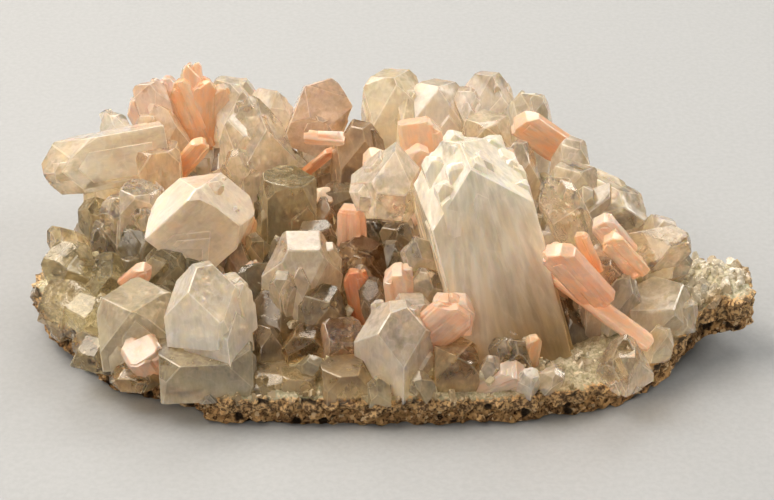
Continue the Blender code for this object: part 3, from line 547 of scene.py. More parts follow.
def refine(obj, longest, smallest=0.35):
    """Keeps the bodies worth having, welds doubles and splits edges until none is longer than longest."""
    bm = bmesh.new()
    bm.from_mesh(obj.data)
    bmesh.ops.remove_doubles(bm, verts=bm.verts, dist=0.002)
    bmesh.ops.dissolve_degenerate(bm, edges=bm.edges, dist=0.01)
    bmesh.ops.triangulate(bm, faces=bm.faces)
    drop_doubled(bm)
    bm.verts.ensure_lookup_table()
    seen, drop = set(), []
    for start in bm.verts:
        if start in seen:
            continue
        stack, body = [start], set()
        while stack:
            vert = stack.pop()
            if vert in body:
                continue
            body.add(vert)
            stack.extend(edge.other_vert(vert) for edge in vert.link_edges)
        seen |= body
        faces = {face for vert in body for face in vert.link_faces}
        volume = sum(f.verts[0].co.dot(f.verts[1].co.cross(f.verts[2].co)) for f in faces) / 6
        if abs(volume) < smallest:
            drop += list(body)
    if drop:
        bmesh.ops.delete(bm, geom=drop, context="VERTS")
    for _ in range(7):
        long = [e for e in bm.edges if e.calc_length() > longest]
        if not long:
            break
        bmesh.ops.subdivide_edges(bm, edges=long, cuts=1)
        bmesh.ops.triangulate(bm, faces=[f for f in bm.faces if len(f.verts) > 3])
    drop_doubled(bm)
    bmesh.ops.recalc_face_normals(bm, faces=bm.faces)
    bm.to_mesh(obj.data)
    bm.free()
    obj.data.validate()


def corner_arrays(mesh):
    mesh.calc_loop_triangles()
    points = np.empty(len(mesh.vertices) * 3)
    mesh.vertices.foreach_get("co", points)
    loops = np.empty(len(mesh.loops), np.int64)
    mesh.loops.foreach_get("vertex_index", loops)
    return points.reshape(-1, 3), loops.reshape(-1, 3)


def waves(points, seed, scale, count=9):
    """Smooth unevenness between about -1 and 1, from waves in seeded directions."""
    rng = np.random.default_rng(seed)
    total = np.zeros(len(points))
    for _ in range(count):
        way = rng.normal(size=3)
        way *= rng.uniform(0.7, 1.5) / np.linalg.norm(way)
        total += np.sin(points @ way * (2 * math.pi / scale) + rng.uniform(0, 2 * math.pi))
    return total / math.sqrt(count / 2) / 1.6


def vertex_normals(points, faces):
    cross = np.cross(points[faces[:, 1]] - points[faces[:, 0]], points[faces[:, 2]] - points[faces[:, 0]])
    total = np.zeros_like(points)
    for k in range(3):
        np.add.at(total, faces[:, k], cross)
    return total / np.maximum(np.linalg.norm(total, axis=1, keepdims=True), 1e-12)


def attribute(mesh, name, kind, domain, values):
    made = mesh.attributes.new(name, kind, domain)
    field = {"FLOAT": "value", "FLOAT_VECTOR": "vector", "FLOAT_COLOR": "color"}[kind]
    made.data.foreach_set(field, np.asarray(values, np.float32).reshape(-1))


# ---------------------------------------------------------------- crystals in full detail
def parallel_growth(crystal, rng):
    """Smaller crystals of the same orientation that stand a little out of the big one's faces, as growth leaves them."""
    kind, top, axis, spin = crystal["kind"], crystal["top"], crystal["axis"], crystal["spin"]
    a, b, point, length, slope = crystal["a"], crystal["b"], crystal["point"], crystal["length"], crystal["slope"]
    x, y = cross_axes(axis, spin)
    shapes = []
    if kind == "A":
        size = math.sqrt(a * b)
        count = {True: 2, False: 4}[size < 3.6] + (3 if size > 7 else 0)
        if crystal["name"][0] == "L":
            count = 1 if size > 1.6 else 0
        if crystal["name"] == "C6":
            count = 13
        for _ in range(count):
            side = rng.randrange(4)
            share = rng.uniform(0.32, 0.72)
            proud = rng.uniform(0.10, 0.55) * (0.5 + size / 10)
            ka, kb = a * share * rng.uniform(0.7, 1.2), b * share * rng.uniform(0.7, 1.2)
            if crystal["name"] == "C6":
                share = rng.uniform(0.12, 0.36)
                proud = rng.uniform(0.08, 0.42)
                ka, kb = a * share, b * share
            if side < 2:
                out = (a + proud - ka) * (1 if side == 0 else -1)
                along = rng.uniform(-1, 1) * (b - kb) * 0.95
                middle = top + x * out + y * along
            else:
                out = (b + proud - kb) * (1 if side == 2 else -1)
                along = rng.uniform(-1, 1) * (a - ka) * 0.95
                middle = top + y * out + x * along
            # The small one's top lies where the pyramid of the big one already runs down.
            drop = max(0.0, (abs(out) + abs(along) * 0.6 - point / math.tan(math.radians(slope)) * 0.7)) * 0.75
            drop = drop + rng.uniform(-0.1, 0.5) * min(length, 14)
            middle = middle - axis * max(0.15, drop)
            long = rng.uniform(0.35, 0.9) * length
            wide = unit(axis + 0.012 * np.array([rng.gauss(0, 1) for _ in range(3)]))
            shapes.append(crystal_planes("A", middle, wide, spin, ka, kb, min(ka, kb) * rng.uniform(0.2, 1.3), long,
                                         slope, rng))
        # a few stand on the pyramid's faces
        steep = math.tan(math.radians(slope)) / math.sqrt(2)
        for _ in range(14 if crystal["name"] == "C6" else 3 if crystal["name"] in ("A9", "B1", "C1", "G1", "C12") else 0):
            dx, dy = rng.uniform(-0.92, 0.92) * a, rng.uniform(-0.92, 0.92) * b
            height = min(0.0, point - (abs(dx) + abs(dy)) * steep)
            ka = (0.10 + 0.16 * rng.random()) * a
            kb = ka * rng.uniform(0.7, 1.1)
            tip = top + x * dx + y * dy + axis * (height + rng.uniform(0.2, 1.1) * ka)
            lean = unit(axis + 0.05 * np.array([rng.gauss(0, 1) for _ in range(3)]))
            shapes.append(crystal_planes("A", tip, lean, spin + rng.uniform(-4, 4), ka, kb, ka * rng.uniform(0.1, 1.0),
                                         min(length * 0.5, 4 * ka + 3), slope, rng))
    else:
        count = 2 if a < 2.3 else 4
        for _ in range(count):
            ka, kb = a * rng.uniform(0.34, 0.66), b * rng.uniform(0.5, 0.95)
            middle = (top + x * rng.uniform(-1, 1) * (a - ka * 0.8) + y * rng.choice((-1, 1)) * (b - kb * rng.uniform(0.72, 1.0))
                      - axis * rng.uniform(-0.02, 0.20) * length * (0.4 + 0.6 * rng.random()))
            wide = unit(axis + 0.030 * np.array([rng.gauss(0, 1) for _ in range(3)]))
            shapes.append(crystal_planes("S", middle, wide, spin + rng.uniform(-3, 3), ka, kb, point * rng.uniform(0.3, 1.2),
                                         length * rng.uniform(0.55, 0.95), slope, rng))
    return shapes


def read_crystals():
    """Every crystal with the same planes as its solid."""
    rng = random.Random(SEED)
    found = []
    for style, row in [("sheet", row) for row in CRYSTALS] + [("plan", row) for row in REAR]:
        name, kind, solid, p, q, z, turn, lean, length, a, b, point, spin = row[:13]
        slope = row[13] if len(row) > 13 else (PYRAMID if kind == "A" else BLADE_POINT)
        if style == "sheet":
            top, axis = on_sheet(p, q, z), sheet_axis(turn, lean)
        else:
            top, axis = np.array([p, q, z], float), plan_axis(turn, lean)
        planes = crystal_planes(kind, top, axis, spin, a, b, point, length, slope, rng)
        corners = points_of(planes)
        low = corners[corners[:, 2] < corners[:, 2].min() + 6.0]
        floor = max(rock_height(x, y) for x, y, _ in low) + GAP + ROOT_COVER
        if corners[:, 2].min() < floor:
            planes.append((np.array([0.0, 0.0, -1.0]), -floor))
        found.append({
            "name": name, "kind": kind, "solid": solid, "planes": planes, "top": top, "axis": axis, "spin": spin, "a": a,
            "b": b, "point": point, "length": length, "slope": slope, "floor": floor,
        })
    return found, rng
# ---------------------------------------------------------------- how each crystal looks
# tint (red, green, blue of the body), cloud 0 clear to 1 milky, kind of clarity. The dark tints, the shade, murky,
# smoky, mossy and dim ones, are painted shade for crystals that stand in shade; the smoky one also keeps a real brown
# tone and the mossy one a real olive tone.
TINT = {
    "clear": (0.985, 0.95, 0.87), "grey": (0.93, 0.90, 0.79), "cream": (0.985, 0.92, 0.78), "peach": (0.98, 0.85, 0.70),
    "honey": (0.94, 0.80, 0.55), "olive": (0.80, 0.77, 0.56), "smoky_shade": (0.64, 0.54, 0.40), "white": (0.985, 0.95, 0.87),
    "pink": (0.98, 0.84, 0.73), "moss_shade": (0.72, 0.69, 0.54), "dim": (0.80, 0.77, 0.64), "giant": (0.985, 0.935, 0.79),
    "shade": (0.59, 0.57, 0.46), "deep_shade": (0.53, 0.48, 0.37),
    "s_peach": (0.97, 0.83, 0.68), "s_salmon": (0.97, 0.775, 0.63), "s_pink": (0.98, 0.88, 0.79),
    "s_red": (0.86, 0.50, 0.30), "s_orange": (0.96, 0.74, 0.53), "s_brown": (0.74, 0.52, 0.36),
}
# Where a crystal gets one of the dark tints, its body colour carries painted shade.
LOOK = {  # name: (tint, cloud, water)
    "A1": ("grey", 0.38, "warm"), "A2": ("clear", 0.35, "warm"), "A3a": ("pink", 0.55, "warm"), "A5": ("peach", 0.5, "warm"),
    "A6": ("peach", 0.36, "warm"), "A8a": ("clear", 0.2, "warm"), "A8b": ("clear", 0.3, "warm"), "A8c": ("clear", 0.1, "warm"),
    "A9": ("white", 0.66, "warm"), "A10a": ("moss_shade", 0.3, "green"), "A10b": ("moss_shade", 0.3, "green"), "A11": ("moss_shade", 0.25, "green"),
    "A12": ("white", 0.5, "warm"), "A13": ("white", 0.45, "warm"), "B1": ("clear", 0.2, "warm"), "B1b": ("clear", 0.15, "warm"),
    "B2": ("moss_shade", 0.22, "green"), "B3": ("pink", 0.45, "warm"), "B4": ("smoky_shade", 0.4, "warm"), "B6": ("smoky_shade", 0.25, "brown"),
    "B7": ("white", 0.42, "warm"), "B7b": ("clear", 0.3, "warm"), "B9": ("smoky_shade", 0.15, "brown"), "C1": ("cream", 0.5, "warm"),
    "C1b": ("cream", 0.45, "warm"), "C5": ("white", 0.28, "warm"), "C6": ("giant", 0.72, "warm"), "C6b": ("giant", 0.64, "warm"),
    "C6c": ("giant", 0.68, "warm"), "C7": ("clear", 0.2, "warm"), "C8": ("clear", 0.25, "warm"), "C12": ("white", 0.5, "warm"),
    "C12b": ("white", 0.4, "warm"), "C13": ("grey", 0.45, "green"), "C16": ("white", 0.5, "warm"), "C17": ("grey", 0.35, "warm"),
    "C18": ("grey", 0.35, "green"), "C10": ("clear", 0.15, "warm"), "D2": ("grey", 0.45, "green"), "D2b": ("grey", 0.4, "green"),
    "D3": ("grey", 0.35, "green"), "D3b": ("cream", 0.45, "warm"), "D4": ("grey", 0.15, "warm"), "D4b": ("grey", 0.3, "green"),
    "D6": ("peach", 0.3, "warm"), "D6b": ("grey", 0.35, "green"), "D8": ("grey", 0.42, "green"), "D8b": ("grey", 0.55, "green"),
    "D9": ("clear", 0.12, "warm"), "G7": ("clear", 0.08, "warm"), "G7b": ("clear", 0.2, "warm"), "G1": ("white", 0.5, "warm"),
    "G5": ("honey", 0.25, "brown"), "E1": ("shade", 0.16, "green"), "E1b": ("shade", 0.22, "green"), "E1c": ("shade", 0.16, "green"),
    "E1d": ("shade", 0.2, "green"), "E2": ("shade", 0.16, "green"), "E2b": ("shade", 0.16, "green"), "E3": ("dim", 0.5, "green"),
    "E4": ("white", 0.42, "warm"), "E4b": ("dim", 0.4, "green"), "E6": ("honey", 0.22, "brown"), "F2": ("shade", 0.3, "green"),
    "F3": ("deep_shade", 0.3, "brown"), "F4": ("dim", 0.15, "brown"), "F5": ("honey", 0.12, "brown"), "F6": ("pink", 0.22, "brown"),
    "F8": ("dim", 0.2, "brown"), "F10a": ("deep_shade", 0.28, "brown"), "F10b": ("deep_shade", 0.28, "brown"), "F10c": ("deep_shade", 0.3, "brown"),
    "A3b": ("s_pink", 0, ""), "A3c": ("s_pink", 0, ""), "A4a": ("s_peach", 0, ""), "A4b": ("s_orange", 0, ""),
    "A4c": ("s_orange", 0, ""), "A4d": ("s_peach", 0, ""), "A7": ("s_orange", 0, ""), "B5": ("s_pink", 0, ""),
    "B6s": ("s_brown", 0, ""), "B8": ("s_salmon", 0, ""), "C2": ("s_peach", 0, ""), "C3": ("s_peach", 0, ""),
    "C4": ("s_pink", 0, ""), "C9": ("s_pink", 0, ""), "C14": ("s_peach", 0, ""), "C11": ("s_salmon", 0, ""),
    "C11b": ("s_salmon", 0, ""), "C11c": ("s_orange", 0, ""), "D5": ("s_pink", 0, ""), "D5b": ("s_peach", 0, ""),
    "G7s": ("s_orange", 0, ""), "G8": ("s_pink", 0, ""), "G2": ("s_salmon", 0, ""), "G2b": ("s_pink", 0, ""),
    "G3": ("s_pink", 0, ""), "E5": ("s_pink", 0, ""), "E9": ("s_salmon", 0, ""), "F7": ("s_red", 0, ""),
    "K2b": ("s_peach", 0, ""), "K2c": ("s_orange", 0, ""), "K8b": ("s_salmon", 0, ""),
}
WATER = ("warm", "green", "brown")


def look_of(name):
    tint, cloud, water = LOOK.get(name, ("white" if hash_of(name) % 2 else "grey", 0.45, "warm"))
    return np.array(TINT[tint]) * (1.0, 0.945, 0.94), cloud, WATER.index(water) if water in WATER else 0


def hash_of(text):
    """A number that is the same in every run."""
    total = 0
    for letter in text:
        total = (total * 131 + ord(letter)) % 1000003
    return total


# ---------------------------------------------------------------- building the crystals
SCALE = 0.001
crystals, plate_rng = read_crystals()
plan_outline = ragged(PLATE, CELL, 0.6, 0.0, plate_rng)
rind_low, rind_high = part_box("basalt_rind")
SHIFT = np.array([
    rind_low[0] * 1000 - min(p[0] for p in plan_outline), rind_low[1] * 1000 - min(p[1] for p in plan_outline), 0.0,
])
print("shift", SHIFT.round(4))

solids = {}
for crystal in crystals:
    solids.setdefault(crystal["solid"], []).append(crystal)
order = sorted(solids, key=lambda s: min(float((c["top"] - EYE) @ INTO) for c in solids[s]))


def finish_mesh(obj, members, hulls, materials):
    """Finds which crystal each face belongs to, stores its grain, tint and cloud, and gives the surface its relief."""
    mesh = obj.data
    points, faces = corner_arrays(mesh)
    centres = points[faces].mean(1)
    best = np.full(len(faces), 1e9)
    owner = np.zeros(len(faces), int)
    plane = np.zeros(len(faces), int)
    worn_and_lit_edge = np.zeros(len(faces), bool)
    for count, (number, planes, flats) in enumerate(hulls):
        normals = np.array([n for n, _ in planes])
        reach = np.array([d for _, d in planes])
        signed = centres @ normals.T - reach
        gap = np.abs(signed.max(1))
        closer = gap < best
        best[closer], owner[closer] = gap[closer], number
        plane[closer] = signed.argmax(1)[closer] + 40 * count
        worn_and_lit_edge[closer] = (signed.argmax(1) >= flats)[closer]
    cut = best > 0.03
    grain = np.zeros((len(faces), 3, 3))
    tint = np.ones((len(faces), 4))
    cloud = np.zeros((len(faces), 3))
    water = np.zeros(len(faces), int)
    for number, crystal in enumerate(members):
        mine = owner == number
        x, y = cross_axes(crystal["axis"], crystal["spin"])
        frame_of = np.array([x, y, crystal["axis"]])
        away = np.array([hash_of(crystal["name"] + k) % 997 / 10.0 for k in "xyz"])
        inner = (points[faces[mine]] - crystal["top"]) @ frame_of.T
        if crystal["name"] in ("C6", "C6b", "C6c"):
            fan = 1 / (0.75 + np.clip(-inner[..., 2:] / 45.0, 0, 1))
            inner = inner * np.array([1.7, 1.7, 0.30]) * np.concatenate([fan, fan, np.ones_like(fan)], -1)
        grain[mine] = inner + away
        colour, haze, kind = look_of(crystal["name"])
        haze = haze * 0.88 + 0.05
        rng = random.Random(hash_of(crystal["name"]))
        tint[mine, :3] = np.array(colour) * (1 + 0.05 * rng.uniform(-1, 1))
        down = np.clip(-((points[faces[mine]] - crystal["top"]) @ crystal["axis"]) / min(crystal["length"], 22.0), 0, 1)
        if crystal["kind"] == "A":
            facet = np.random.default_rng(hash_of(crystal["name"])).uniform(-0.10, 0.10, 4000)[plane[mine] % 4000]
            # chamfer faces get more cloud and read whiter: partly wear, partly a painted highlight on the edges
            cloud[mine] = haze + (0.42 * (down - 0.35)) * (0.35 + haze) + facet[:, None] + 0.12 * worn_and_lit_edge[mine][:, None]
            water[mine] = kind
            if crystal["name"] in ("C6", "C6b", "C6c"):
                # the giant's tint is lifted towards white at the top, painted light, and darkened to olive brown low on
                # its right side, painted shade; its cloud is raised at the top and lowered low on the right with them
                spot = centres[mine]
                low = np.clip((30.0 - spot[:, 2]) / 20.0, 0, 1) * np.clip(0.25 + (spot[:, 0] - 17.0) / 14.0, 0, 1)
                rays = (inner.reshape(-1, 3) * np.array([1.0, 1.0, 0.12])).astype(float)
                rays = (waves(rays, 21, 2.2, 14) + 0.8 * waves(rays, 22, 5.5)).reshape(-1, 3)
                # painted shade low on the right side, painted light at the top
                tint[mine, :3] *= 1 - low[:, None] * np.array([0.42, 0.50, 0.66])
                high = np.clip((spot[:, 2] - 33.0) / 9.0, 0, 1)
                tint[mine, :3] += high[:, None] * (np.array([0.99, 0.94, 0.86]) - tint[mine, :3]) * 0.8
                cloud[mine] += 0.07 * rays + (0.12 * high - 0.28 * low)[:, None]
        else:
            cloud[mine] = np.clip(1.5 * down - 0.7, 0, 0.8)
    # relief, along the vertex normals
    normals = vertex_normals(points, faces)
    vertex_grain = np.zeros_like(points)
    vertex_grain[faces.reshape(-1)] = grain.reshape(-1, 3)
    kind = members[0]["kind"]
    if kind == "A":
        stretch = vertex_grain * np.array([1.0, 1.0, 0.4])
        height = 0.016 * waves(stretch, 11, 3.0) + 0.030 * waves(vertex_grain, 12, 8.0)
    else:
        stretch = vertex_grain * np.array([1.0, 1.0, 0.15])
        height = 0.022 * waves(stretch, 13, 1.6) + 0.05 * waves(vertex_grain, 14, 6.0)
    if members[0]["name"] == "C6":
        ribs = vertex_grain * np.array([1.0, 1.0, 0.12])
        body = np.clip((37.0 - points[:, 2]) / 7.0, 0.15, 1)
        height = height + body * (0.10 * waves(ribs, 15, 2.8, 14) + 0.10 * waves(ribs, 16, 6.5))
    points = points + normals * height[:, None]
    mesh.vertices.foreach_set("co", ((points + SHIFT) * SCALE).reshape(-1))
    attribute(mesh, "grain", "FLOAT_VECTOR", "CORNER", grain)
    attribute(mesh, "tint", "FLOAT_COLOR", "FACE", tint)
    attribute(mesh, "cloud", "FLOAT", "CORNER", cloud)
    mesh.materials.clear()
    for material in materials:
        mesh.materials.append(material)
    slots = np.where(cut, len(materials) - 1, water if kind == "A" else 0)
    mesh.polygons.foreach_set("material_index", slots.astype(np.int32))
    mesh.update()
    mesh.shade_smooth()
    mesh.set_sharp_from_angle(angle=math.radians(24))


placed = []


def build_solid(name, members, materials, node, longest=1.9):
    """One grown-together group of crystals, cut free of everything that is already there."""
    hulls = []
    for number, crystal in enumerate(members):
        rng = random.Random(hash_of(crystal["name"]) + 5)
        planes = crystal["planes"]
        level = [i for i, (n, _) in enumerate(planes) if n[2] < -0.99]
        small = crystal["a"] < 3.0
        if crystal["kind"] == "A":
            main = worn(planes, rng, 0.34 if not small else 0.22, 0.30, level)
        else:
            main = worn(planes, rng, 0.30, 0.15, level)
        hulls.append((number, main))
        for extra in parallel_growth(crystal, rng):
            extra = list(extra) + [(np.array([0.0, 0.0, -1.0]), -crystal["floor"])]
            low = len(extra) - 1
            hulls.append((number, worn(extra, rng, 0.22, 0.10, [low])))
    usable = [(number, *made) for number, made in hulls if made]
    low = np.min([c.min(0) for _, _, c, _ in usable], axis=0)
    high = np.max([c.max(0) for _, _, c, _ in usable], axis=0)
    shapes = [hull_mesh("part", corners) for _, _, corners, _ in usable]
    obj = shapes[0]
    obj.name = name
    bpy.context.scene.collection.objects.link(obj)
    combine(obj, shapes[1:], "UNION")
    cutters = [hull_mesh("cutter", c) for c, c0, c1 in placed if (c0 < high).all() and (c1 > low).all()]
    combine(obj, cutters, "DIFFERENCE")
    refine(obj, longest)
    finish_mesh(obj, members, [(n, p, f) for n, p, _, f in usable], materials[members[0]["kind"]])
    for _, planes, corners, _ in usable:
        swollen = points_of([(n, d + 0.03) for n, d in planes], corners.mean(0))
        if len(swollen) > 5:
            placed.append((swollen, swollen.min(0), swollen.max(0)))
    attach(obj, "root")
    if node:
        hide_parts(node)
    return obj


def build_crystals(materials):
    for solid in order:
        build_solid(solid + "_crystal", solids[solid], materials, solid, 1.0 if solid == "apophyllite_giant" else 1.9)
# ---------------------------------------------------------------- materials
class Tree:
    """A short way to write a material's nodes. A value may be a number, a tuple or another node's output."""

    def __init__(self, name):
        self.material = bpy.data.materials.new(name)
        self.material.use_nodes = True
        self.tree = self.material.node_tree
        self.tree.nodes.clear()

    def put(self, socket, value):
        if isinstance(value, bpy.types.NodeSocket):
            self.tree.links.new(value, socket)
        elif isinstance(value, (tuple, list)) and len(value) == 3 and socket.type == "RGBA":
            socket.default_value = (*value, 1.0)
        else:
            socket.default_value = value

    def add(self, kind, inputs=None, **settings):
        made = self.tree.nodes.new(kind)
        for key, value in settings.items():
            setattr(made, key, value)
        for key, value in (inputs or {}).items():
            self.put(made.inputs[key], value)
        return made

    def math(self, operation, a, b=0.0, c=0.0, clamp=False):
        made = self.add("ShaderNodeMath", {0: a, 1: b, 2: c}, operation=operation)
        made.use_clamp = clamp
        return made.outputs[0]

    def vector(self, operation, a, b):
        return self.add("ShaderNodeVectorMath", {0: a, 1: b}, operation=operation).outputs[0]

    def noise(self, where, scale, detail=3.0, rough=0.55, distortion=0.0, colour=False):
        made = self.add("ShaderNodeTexNoise", {
            "Vector": where, "Scale": scale, "Detail": detail, "Roughness": rough, "Distortion": distortion,
        })
        return made.outputs[1 if colour else 0]

    def cells(self, where, scale, feature="F1", random_=1.0, output="Distance"):
        made = self.add("ShaderNodeTexVoronoi", {"Vector": where, "Scale": scale, "Randomness": random_}, feature=feature)
        return made.outputs[output]

    def span(self, value, low, high, out_low=0.0, out_high=1.0, smooth=True):
        made = self.add("ShaderNodeMapRange", {
            "Value": value, "From Min": low, "From Max": high, "To Min": out_low, "To Max": out_high,
        })
        made.interpolation_type = "SMOOTHSTEP" if smooth else "LINEAR"
        return made.outputs[0]

    def mix(self, share, a, b, kind="MIX"):
        made = self.tree.nodes.new("ShaderNodeMix")
        made.data_type = "RGBA"
        made.blend_type = kind
        self.put(made.inputs[0], share)
        self.put(made.inputs[6], a)
        self.put(made.inputs[7], b)
        return made.outputs[2]

    def attribute(self, name, output):
        return self.add("ShaderNodeAttribute", attribute_name=name).outputs[output]

    def bump(self, height, strength, distance, normal=None):
        inputs = {"Height": height, "Strength": strength, "Distance": distance}
        if normal is not None:
            inputs["Normal"] = normal
        return self.add("ShaderNodeBump", inputs).outputs[0]

    def output(self, surface, volume=None):
        made = self.add("ShaderNodeOutputMaterial", {"Surface": surface})
        if volume is not None:
            self.put(made.inputs["Volume"], volume)
        return self.material

    def lit_through(self, shader, share, colour):
        """The shader, but lamps shine through a share of it."""
        lamp = self.add("ShaderNodeLightPath").outputs["Is Shadow Ray"]
        gone = self.add("ShaderNodeBsdfTransparent", {"Color": colour})
        share = self.math("MULTIPLY", lamp, share)
        return self.add("ShaderNodeMixShader", {0: share, 1: shader.outputs[0], 2: gone.outputs[0]}).outputs[0]


def millimetres(t):
    """The place in the frame, in millimetres."""
    made = t.add("ShaderNodeTexCoord")
    return t.add("ShaderNodeVectorMath", {0: made.outputs["Object"], "Scale": 1000.0}, operation="SCALE").outputs[0]


def apophyllite(name, absorb, density, shade):
    """Clear to milky crystal: see-through where it is clean, white and scattering where it is clouded."""
    t = Tree(name)
    grain = t.attribute("grain", "Vector")
    tint = t.attribute("tint", "Color")
    haze = t.attribute("cloud", "Fac")
    streak = t.noise(t.vector("MULTIPLY", grain, (1.0, 1.0, 0.28)), 1.15, 3.0, 0.62)
    veil = t.noise(grain, 0.28, 2.0, 0.55)
    wisp = t.span(t.math("ABSOLUTE", t.math("SUBTRACT", veil, 0.5)), 0.0, 0.05, 1.0, 0.0)
    total = t.math("MULTIPLY_ADD", t.math("SUBTRACT", veil, 0.5), 0.45, haze)
    total = t.math("MULTIPLY_ADD", t.math("SUBTRACT", streak, 0.5), 0.30, total)
    total = t.math("MULTIPLY_ADD", wisp, 0.05, total, clamp=True)
    clear = t.span(total, 0.0, 1.0, 0.98, 0.16, False)
    colour = t.mix(t.span(veil, 0.50, 0.66, 0.0, 0.30), tint, shade, "MULTIPLY")
    shader = t.add("ShaderNodeBsdfPrincipled", {
        "Base Color": colour, "Roughness": t.math("MULTIPLY_ADD", haze, 0.07, 0.05), "IOR": 1.535, "Transmission Weight": clear,
        "Normal": t.bump(streak, 0.34, 0.00010),
        "Subsurface Weight": 0.7, "Subsurface Radius": (1.0, 0.86, 0.64), "Subsurface Scale": 0.0026,
    })
    volume = t.add("ShaderNodeVolumeAbsorption", {"Color": absorb, "Density": density}) if density else None
    surface = t.lit_through(shader, t.math("MULTIPLY", clear, 0.85), (0.94, 0.88, 0.78))
    return t.output(surface, volume.outputs[0] if volume else None)


def boundary(name, colour):
    """Where two crystals meet inside the mass: a rough, milky seam."""
    t = Tree(name)
    patch = t.noise(millimetres(t), 0.4, 2.0, 0.6)
    tone = t.mix(t.span(patch, 0.35, 0.7), colour, tuple(c * 0.6 for c in colour))
    shader = t.add("ShaderNodeBsdfPrincipled", {
        "Base Color": tone, "Roughness": 0.32, "IOR": 1.535, "Transmission Weight": t.span(patch, 0.35, 0.65, 0.85, 0.55),
    })
    return t.output(t.lit_through(shader, 0.45, (0.88, 0.81, 0.70)))


def stilbite(name):
    """Satin, faintly see-through blades, finely striped along their length, deeper in the hollows and at the root."""
    t = Tree(name)
    grain = t.attribute("grain", "Vector")
    tint = t.attribute("tint", "Color")
    root = t.attribute("cloud", "Fac")
    fibres = t.noise(t.vector("MULTIPLY", grain, (2.4, 2.4, 0.20)), 1.0, 2.0, 0.5)
    broad = t.noise(t.vector("MULTIPLY", grain, (1.0, 1.0, 0.5)), 0.55, 3.0, 0.6)
    deep = t.mix(1.0, tint, (0.95, 0.78, 0.64), "MULTIPLY")
    pale = t.mix(0.65, tint, (0.99, 0.91, 0.83))
    colour = t.mix(t.math("ADD", t.span(broad, 0.36, 0.60, 0.75, 0.0), root, clamp=True), tint, deep)
    colour = t.mix(t.math("MULTIPLY", t.span(fibres, 0.45, 0.80), t.span(broad, 0.42, 0.62, 0.15, 0.80)), colour, pale)
    shader = t.add("ShaderNodeBsdfPrincipled", {
        "Base Color": colour, "Roughness": 0.27, "IOR": 1.50,
        "Normal": t.bump(fibres, 0.35, 0.00010), "Transmission Weight": t.span(broad, 0.35, 0.65, 0.38, 0.54),
        "Subsurface Weight": 0.7, "Subsurface Radius": (1.0, 0.68, 0.50), "Subsurface Scale": 0.0022,
        "Coat Weight": 0.45, "Coat Roughness": 0.10,
    })
    return t.output(t.lit_through(shader, 0.6, (0.97, 0.84, 0.72)))


def basalt(name):
    """Granular brown rock with golden rust, and pores painted nearly black, painted shade in the holes."""
    t = Tree(name)
    place = millimetres(t)
    pit = t.attribute("pit", "Fac")
    grit = t.noise(place, 1.6, 3.0, 0.7)
    broad = t.noise(place, 0.14, 2.0, 0.6)
    specks = t.cells(place, 1.5, output="Color")
    lum = t.add("ShaderNodeSeparateColor", {0: specks}).outputs[0]
    dark, brown, gold = (0.050, 0.028, 0.014), (0.30, 0.175, 0.080), (0.66, 0.43, 0.20)
    colour = t.mix(t.span(grit, 0.40, 0.56), dark, brown)
    rust = t.math("MULTIPLY", t.span(broad, 0.30, 0.55), t.span(lum, 0.15, 0.9))
    colour = t.mix(t.math("MULTIPLY", rust, 0.85), colour, gold)
    colour = t.mix(t.span(lum, 0.84, 0.95, 0.0, 0.55), colour, (0.74, 0.64, 0.46))
    # painted shade: the pores are painted near black
    colour = t.mix(t.span(pit, 0.15, 0.6, 0.0, 0.93), colour, (0.016, 0.010, 0.006))
    shader = t.add("ShaderNodeBsdfPrincipled", {
        "Base Color": colour, "Roughness": t.span(grit, 0.3, 0.7, 0.95, 0.6), "Normal": t.bump(grit, 0.9, 0.0005),
        "Specular IOR Level": 0.35,
    })
    return t.output(shader.outputs[0])


def crust_skin(name):
    """Pale grey-green drusy ground, brown and rusty at the rim; brown in the hollows, partly stain and partly painted
    shade; the pores painted near black, painted shade.
    """
    t = Tree(name)
    place = millimetres(t)
    pit = t.attribute("pit", "Fac")
    rim = t.attribute("rim", "Fac")
    stain_and_shade = t.attribute("stain_and_shade", "Fac")
    grit = t.noise(place, 1.3, 3.0, 0.66)
    broad = t.noise(place, 0.16, 2.0, 0.6)
    pale, olive, brown = (0.66, 0.62, 0.49), (0.40, 0.385, 0.26), (0.17, 0.105, 0.055)
    colour = t.mix(t.span(grit, 0.40, 0.60), olive, pale)
    # random brown patches of dirt plus the hollows' darkening, which is partly stain and partly painted shade
    dirt_and_shade = t.math("ADD", t.span(broad, 0.50, 0.66, 0.0, 0.55), stain_and_shade, clamp=True)
    colour = t.mix(dirt_and_shade, colour, brown)
    edge = t.math("MULTIPLY_ADD", t.math("SUBTRACT", grit, 0.5), 1.6, rim)
    gritty = t.mix(t.span(grit, 0.40, 0.60), (0.12, 0.068, 0.034), (0.64, 0.44, 0.22))
    colour = t.mix(t.span(edge, 0.40, 0.85), colour, gritty)
    # painted shade: the pores are painted near black
    colour = t.mix(t.span(pit, 0.15, 0.6, 0.0, 0.9), colour, (0.02, 0.013, 0.008))
    shader = t.add("ShaderNodeBsdfPrincipled", {
        "Base Color": colour, "Roughness": t.span(grit, 0.3, 0.7, 0.75, 0.35), "Normal": t.bump(grit, 0.9, 0.0004),
        "Subsurface Weight": 0.2, "Subsurface Radius": (1.0, 0.85, 0.6), "Subsurface Scale": 0.0012,
    })
    return t.output(shader.outputs[0])


def inner_veil(name):
    """A healed crack inside a crystal: a broken film of tiny bubbles."""
    t = Tree(name)
    place = millimetres(t)
    film = t.noise(place, 0.9, 3.0, 0.65)
    shader = t.add("ShaderNodeBsdfPrincipled", {
        "Base Color": t.mix(t.span(film, 0.4, 0.6), (0.80, 0.70, 0.52), (0.97, 0.93, 0.85)), "Roughness": 0.28,
        "IOR": 1.3, "Alpha": t.span(film, 0.48, 0.70, 0.0, 0.38),
    })
    return t.output(shader.outputs[0])


